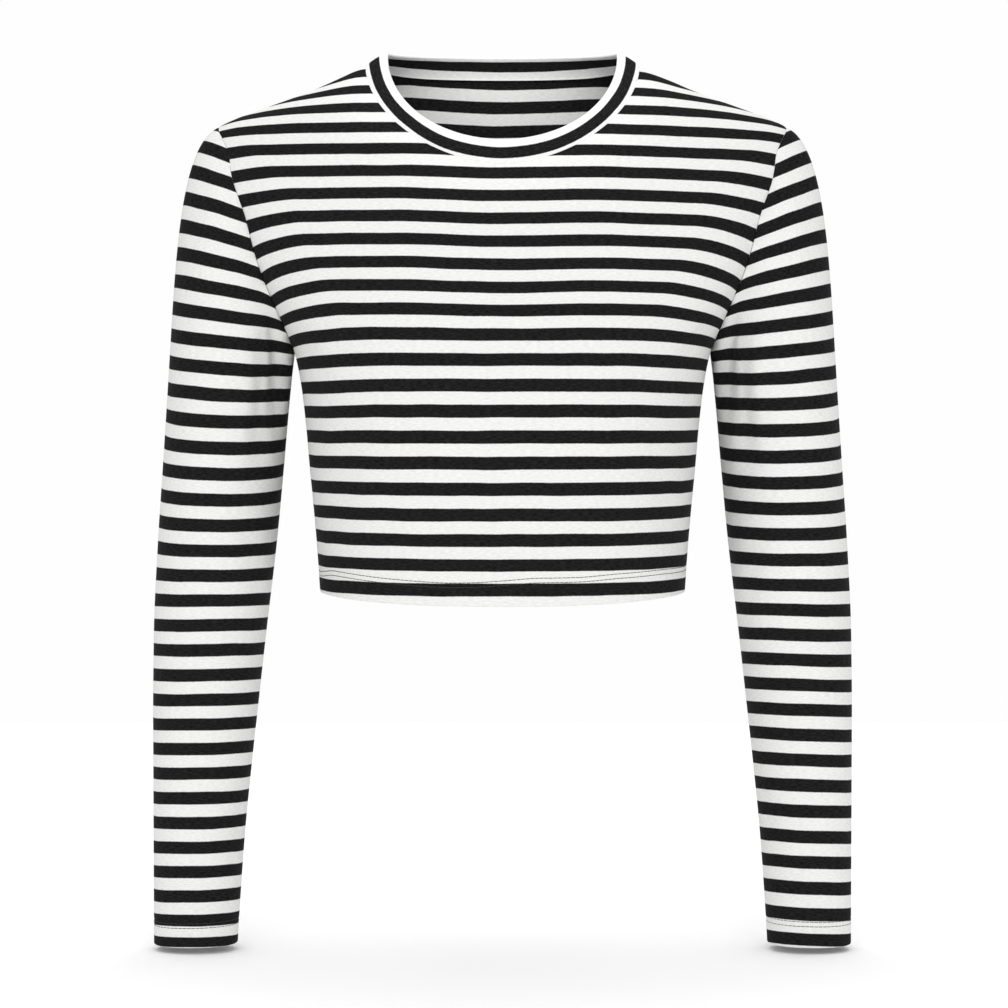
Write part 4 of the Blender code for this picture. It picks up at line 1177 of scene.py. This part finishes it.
def striped_cotton_jersey(cloth):
    """Yarn-dyed single jersey of combed cotton, knitted in black and off-white courses.

    Knitted cotton has no gloss: its fibres scatter the light, so it looks chalky, with a faint bloom at
    glancing angles. Uneven yarn gives short streaks along the courses and slightly ragged stripe edges.
    """
    if "striped_cotton_jersey" in bpy.data.materials:
        return bpy.data.materials["striped_cotton_jersey"]
    material = bpy.data.materials.new("striped_cotton_jersey")
    tree = new_tree(material)
    repeat = cloth.stripe_repeat / MM
    half_black = cloth.black_share / 2
    place = add_node(tree, "UVMap", {}, uv_map="cloth")
    v = add_node(tree, "SeparateXYZ", {0: place}).outputs[1]
    streak, fleck = (
        add_node(
            tree, "TexNoise",
            {"Vector": add_node(tree, "Mapping", {0: place, 3: (1 / width, 1 / height, 1.0)}),
             "Scale": 1.0, "Detail": detail},
            noise_dimensions="2D",
        )
        for (width, height), detail in ((STREAK_SIZE, 2.0), (FLECK_SIZE, 1.0))
    )
    # the stripes' ragged and wandering edges
    wander = add_node(
        tree, "TexNoise", {"Vector": place, "Scale": 1 / EDGE_WANDER_LENGTH, "Detail": 1.0},
        noise_dimensions="2D",
    )
    wavy = add_node(tree, "Math", {0: wander, 1: EDGE_WANDER, 2: v}, operation="MULTIPLY_ADD")
    ragged = add_node(tree, "Math", {0: fleck, 1: EDGE_RAGGEDNESS, 2: wavy}, operation="MULTIPLY_ADD")
    level = half_black + 0.5 - ((EDGE_WANDER + EDGE_RAGGEDNESS) / 2 + BLACK_RISE) / repeat
    turns = add_node(tree, "Math", {0: ragged, 1: 1 / repeat, 2: level}, operation="MULTIPLY_ADD")
    phase = add_node(tree, "Math", {0: turns}, operation="FRACT")
    middle = add_node(tree, "Math", {0: phase, 1: 0.5}, operation="SUBTRACT")
    off_middle = add_node(tree, "Math", {0: middle}, operation="ABSOLUTE")
    soft = EDGE_SOFTNESS / repeat
    whiteness = add_node(
        tree, "MapRange", {0: off_middle, 1: half_black - soft, 2: half_black + soft},
        interpolation_type="SMOOTHSTEP",
    )
    yarn = add_node(tree, "MapRange", {0: streak, 1: STREAK_RANGE[0], 2: STREAK_RANGE[1]})
    white, black = (
        add_node(
            tree, "Mix", {0: yarn, 6: shaded(dye, low), 7: shaded(dye, high)}, data_type="RGBA"
        ).outputs[2]
        for dye, (low, high) in ((cloth.white_yarn, WHITE_RANGE), (cloth.black_yarn, BLACK_RANGE))
    )
    colour = add_node(tree, "Mix", {0: whiteness, 6: black, 7: white}, data_type="RGBA").outputs[2]
    relief = add_node(tree, "Math", {0: fleck, 1: FLECK_RELIEF, 2: streak}, operation="MULTIPLY_ADD")
    bump = add_node(tree, "Bump", {"Strength": 1.0, "Distance": KNIT_DEPTH * MM, "Height": relief})
    shader = add_node(
        tree, "BsdfPrincipled",
        {"Base Color": colour, "Roughness": 0.92, "IOR": 1.5, "Specular IOR Level": 0.06,
         "Sheen Weight": 0.015, "Sheen Roughness": 0.5, "Normal": bump},
    )
    add_node(tree, "OutputMaterial", {0: shader})
    return material


def spun_polyester_thread(sewing):
    """Spun polyester sewing thread, grey, with the slight lustre of its twisted plies."""
    if "spun_polyester_thread" in bpy.data.materials:
        return bpy.data.materials["spun_polyester_thread"]
    return coated(
        "spun_polyester_thread", Base_Color=(*sewing.thread_colour, 1.0), Roughness=0.7, IOR=1.57,
        Specular_IOR_Level=0.3,
    )


def matt_opal_acrylic(studio):
    """Opal white floor of a light table, lit a little from below, which keeps only the softest shadows."""
    return coated(
        "matt_opal_acrylic", Base_Color=(*studio.floor_colour, 1.0), Roughness=0.95, Specular_IOR_Level=0.1,
        Emission_Color=(1.0, 1.0, 1.0, 1.0), Emission_Strength=studio.table_light,
    )


def light_tent(world, studio):
    """Even white light from all round, with a soft dark flag on either side and round the back wall."""
    tree = new_tree(world)
    way = add_node(tree, "SeparateXYZ", {0: add_node(tree, "TexCoord", {}).outputs["Generated"]})
    aside = add_node(tree, "Math", {0: way.outputs[0]}, operation="ABSOLUTE")
    flags, behind, wall = (
        add_node(
            tree, "MapRange", {0: at, 1: start, 2: end, 3: low, 4: high}, interpolation_type="SMOOTHSTEP"
        )
        for at, (start, end), low, high in (
            (aside, FLAG_EDGE, 1.0, studio.flag_light),
            (way.outputs[1], WALL_SURROUND_EDGE, 1.0, studio.back_light),
            (way.outputs[1], WALL_EDGE, 0.0, 1.0),
        )
    )
    both = add_node(tree, "Math", {0: flags, 1: behind}, operation="MULTIPLY")
    around = add_node(tree, "Math", {0: both, 1: studio.tent_light}, operation="MULTIPLY")
    strength = add_node(tree, "Mix", {0: wall, 2: around, 3: studio.wall_light})
    light = add_node(tree, "Background", {"Color": (1.0, 1.0, 1.0, 1.0), "Strength": strength})
    add_node(tree, "OutputWorld", {0: light})


# --- Sizes and colours that a user may change ---


class CropTopCloth(bpy.types.PropertyGroup):
    """The jersey that the top is cut from."""

    thickness: bpy.props.FloatProperty(
        name="Thickness", description="Thickness of one layer of jersey", default=0.001, min=0.0004,
        max=0.0014, unit="LENGTH",
    )
    stripe_repeat: bpy.props.FloatProperty(
        name="Stripe repeat", description="Height of a black and a white stripe together",
        default=0.01715, min=0.004, max=0.08, unit="LENGTH",
    )
    black_share: bpy.props.FloatProperty(
        name="Black share", description="Share of the repeat that is black", default=0.508, min=0.1,
        max=0.9, subtype="FACTOR",
    )
    white_yarn: bpy.props.FloatVectorProperty(
        name="White yarn", description="Colour of the light stripes", default=linear("#E8E8E7"), min=0,
        max=1, subtype="COLOR",
    )
    black_yarn: bpy.props.FloatVectorProperty(
        name="Black yarn", description="Colour of the dark stripes", default=linear("#1C1B1C"), min=0,
        max=1, subtype="COLOR",
    )


class CropTopSewing(bpy.types.PropertyGroup):
    """The rows of stitches that hold the hem and the cuffs."""

    hem_depth: bpy.props.FloatProperty(
        name="Hem depth", description="Height of the upper needle row above the hem's edge",
        default=0.0177, min=0.01, max=0.02, unit="LENGTH",
    )
    left_cuff_depth: bpy.props.FloatProperty(
        name="Left cuff depth", description="Height of the upper needle row on the wearer's left cuff",
        default=0.0177, min=0.008, max=0.02, unit="LENGTH",
    )
    right_cuff_depth: bpy.props.FloatProperty(
        name="Right cuff depth", description="Height of the upper needle row on the wearer's right cuff",
        default=0.0166, min=0.008, max=0.02, unit="LENGTH",
    )
    needle_gap: bpy.props.FloatProperty(
        name="Needle gap", description="Distance between the two needle rows", default=0.0031, min=0.001,
        max=0.006, unit="LENGTH",
    )
    stitch_length: bpy.props.FloatProperty(
        name="Stitch length", description="Length of a stitch that shows", default=0.0028, min=0.001,
        max=0.005, unit="LENGTH",
    )
    stitch_space: bpy.props.FloatProperty(
        name="Stitch space", description="Space between two stitches", default=0.0002, min=0.0002,
        max=0.002, unit="LENGTH",
    )
    thread_thickness: bpy.props.FloatProperty(
        name="Thread thickness", description="Thickness of the sewing thread", default=0.00045,
        min=0.0001, max=0.001, unit="LENGTH",
    )
    thread_colour: bpy.props.FloatVectorProperty(
        name="Thread colour", description="Colour of the sewing thread", default=linear("#2E2D2D"), min=0,
        max=1, subtype="COLOR",
    )


class CropTopStudio(bpy.types.PropertyGroup):
    """Floor, light and camera."""

    tent_light: bpy.props.FloatProperty(
        name="Tent light", description="Strength of the even white light from all round", default=0.925,
        min=0, max=3,
    )
    wall_light: bpy.props.FloatProperty(
        name="Wall light", description="Brightness of the white wall at the back", default=0.99, min=0,
        max=3,
    )
    flag_light: bpy.props.FloatProperty(
        name="Flag light", description="What the dark flags on both sides leave of the tent's light",
        default=0.45, min=0, max=1, subtype="FACTOR",
    )
    back_light: bpy.props.FloatProperty(
        name="Back light",
        description="What is left of the tent's light round the white wall at the back", default=0.7,
        min=0, max=1, subtype="FACTOR",
    )
    front_light: bpy.props.FloatProperty(
        name="Front light", description="Power of the large soft lamp above the camera", default=22,
        min=0, max=200, unit="POWER",
    )
    floor_light: bpy.props.FloatProperty(
        name="Floor light", description="Power of the soft lamp that hangs over the floor behind the top",
        default=16, min=0, max=200, unit="POWER",
    )
    table_light: bpy.props.FloatProperty(
        name="Table light", description="Light that comes up through the floor", default=0.1, min=0,
        max=1,
    )
    neck_light: bpy.props.FloatProperty(
        name="Neck light", description="Power of the small soft spot that reaches in at the neck",
        default=38, min=0, max=200, unit="POWER",
    )
    floor_colour: bpy.props.FloatVectorProperty(
        name="Floor colour", description="Colour of the studio floor", default=linear("#FDFDFD"), min=0,
        max=1, subtype="COLOR",
    )
    lens: bpy.props.FloatProperty(
        name="Lens", description="Focal length of the camera, in millimetres", default=124.36, min=20,
        max=400,
    )


# --- Operators ---


def make_shells(scene, makers):
    """Cuts each piece of jersey that makers names, with the function it gives."""
    cloth, sewing = scene.crop_top_cloth, scene.crop_top_sewing
    for name, make in makers.items():
        cloth_shell(name + "_jersey", *make(name, cloth, sewing), striped_cotton_jersey(cloth))
    return {"FINISHED"}


class CROPTOP_OT_make_body(bpy.types.Operator):
    """Cut the striped front and back"""

    bl_idname = "crop_top.make_body"
    bl_label = "Front and Back"

    def execute(self, context):
        return make_shells(context.scene, {"front": panel, "back": panel})


class CROPTOP_OT_make_sleeves(bpy.types.Operator):
    """Cut the two striped sleeves"""

    bl_idname = "crop_top.make_sleeves"
    bl_label = "Sleeves"

    def execute(self, context):
        return make_shells(context.scene, {"sleeve_left": sleeve, "sleeve_right": sleeve})


class CROPTOP_OT_make_neckband(bpy.types.Operator):
    """Fold the neckband"""

    bl_idname = "crop_top.make_neckband"
    bl_label = "Neckband"

    def execute(self, context):
        return make_shells(context.scene, {"neckband": neckband})


class CROPTOP_OT_sew_edges(bpy.types.Operator):
    bl_idname = "crop_top.sew_edges"
    bl_label = "Hem and Cuff Stitching"

    def execute(self, context):
        sewing = context.scene.crop_top_sewing
        for node, (width, length, area) in CUTS.items():
            sewn_on = []
            if node != "neckband":
                rows = (cuff_rows if node.startswith("sleeve") else hem_rows)(node, sewing)
                sewn_on = [sew(node + "_stitching", rows, sewing)]
                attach(sewn_on[0], "root")
            shell = bpy.data.objects[node + "_jersey"]
            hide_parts(node)
            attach(shell, "root")
        return {"FINISHED"}


class CROPTOP_OT_make_studio(bpy.types.Operator):
    """Set up the floor, the light and the camera"""

    bl_idname = "crop_top.make_studio"
    bl_label = "Studio"

    def execute(self, context):
        scene, studio = context.scene, context.scene.crop_top_studio
        corners = np.array([(-1, -1, 0), (1, -1, 0), (1, 1, 0), (-1, 1, 0)]) * [*FLOOR_HALF_SIZE, 0.0]
        corners[:, 2] = CAD_BOX[0][2] - FLOOR_CLEARANCE
        add_mesh("floor", corners / MM, [[0, 1, 2, 3]], matt_opal_acrylic(studio))
        scene.world = bpy.data.worlds.new("light_tent")
        light_tent(scene.world, studio)
        for name, (kind, size, place, tilt_deg) in LAMPS.items():
            lamp = bpy.data.lights.new(name, kind)
            lamp.energy = getattr(studio, name)
            if kind == "AREA":
                lamp.shape = "SQUARE"
                lamp.size = size
            else:
                lamp.shadow_soft_size = size / 2
                lamp.spot_size = math.radians(NECK_LIGHT_CONE_DEG)
                lamp.spot_blend = 1.0
            holder = bpy.data.objects.new(name, lamp)
            holder.location = place
            holder.rotation_euler = (math.radians(tilt_deg), 0.0, 0.0)
            scene.collection.objects.link(holder)
        camera = bpy.data.cameras.new("camera")
        camera.lens = studio.lens
        camera.sensor_width = CAMERA_SENSOR
        camera.clip_end = CAMERA_SEES_TO
        holder = bpy.data.objects.new("camera", camera)
        holder.location = CAMERA_PLACE
        holder.rotation_euler = (math.radians(90 - CAMERA_LOOKS_DOWN_DEG), 0.0, 0.0)
        scene.collection.objects.link(holder)
        scene.camera = holder
        scene.view_settings.view_transform = "Standard"
        scene.view_settings.look = "None"
        return {"FINISHED"}


class CROPTOP_PT_panel(bpy.types.Panel):
    """Sidebar panel of the crop top."""

    bl_idname = "CROPTOP_PT_panel"
    bl_label = "Crop Top"
    bl_space_type = "VIEW_3D"
    bl_region_type = "UI"
    bl_category = "Crop Top"

    def draw(self, context):
        for group in GROUPS:
            settings = getattr(context.scene, group)
            self.layout.label(text=group.replace("_", " ").capitalize())
            for name in type(settings).__annotations__:
                self.layout.prop(settings, name)
        for operator in STEPS:
            self.layout.operator(operator.bl_idname)


GROUPS = {
    "crop_top_cloth": CropTopCloth,
    "crop_top_sewing": CropTopSewing,
    "crop_top_studio": CropTopStudio,
}
STEPS = (
    CROPTOP_OT_make_body,
    CROPTOP_OT_make_sleeves,
    CROPTOP_OT_make_neckband,
    CROPTOP_OT_sew_edges,
    CROPTOP_OT_make_studio,
)


def register():
    for made in (*GROUPS.values(), *STEPS, CROPTOP_PT_panel):
        bpy.utils.register_class(made)
    for name, group in GROUPS.items():
        setattr(bpy.types.Scene, name, bpy.props.PointerProperty(type=group))


def unregister():
    for name in GROUPS:
        delattr(bpy.types.Scene, name)
    for made in reversed((*GROUPS.values(), *STEPS, CROPTOP_PT_panel)):
        bpy.utils.unregister_class(made)


def main():
    register()
    for step in STEPS:
        group, name = step.bl_idname.split(".")
        getattr(getattr(bpy.ops, group), name)()


if __name__ == "__main__":
    main()
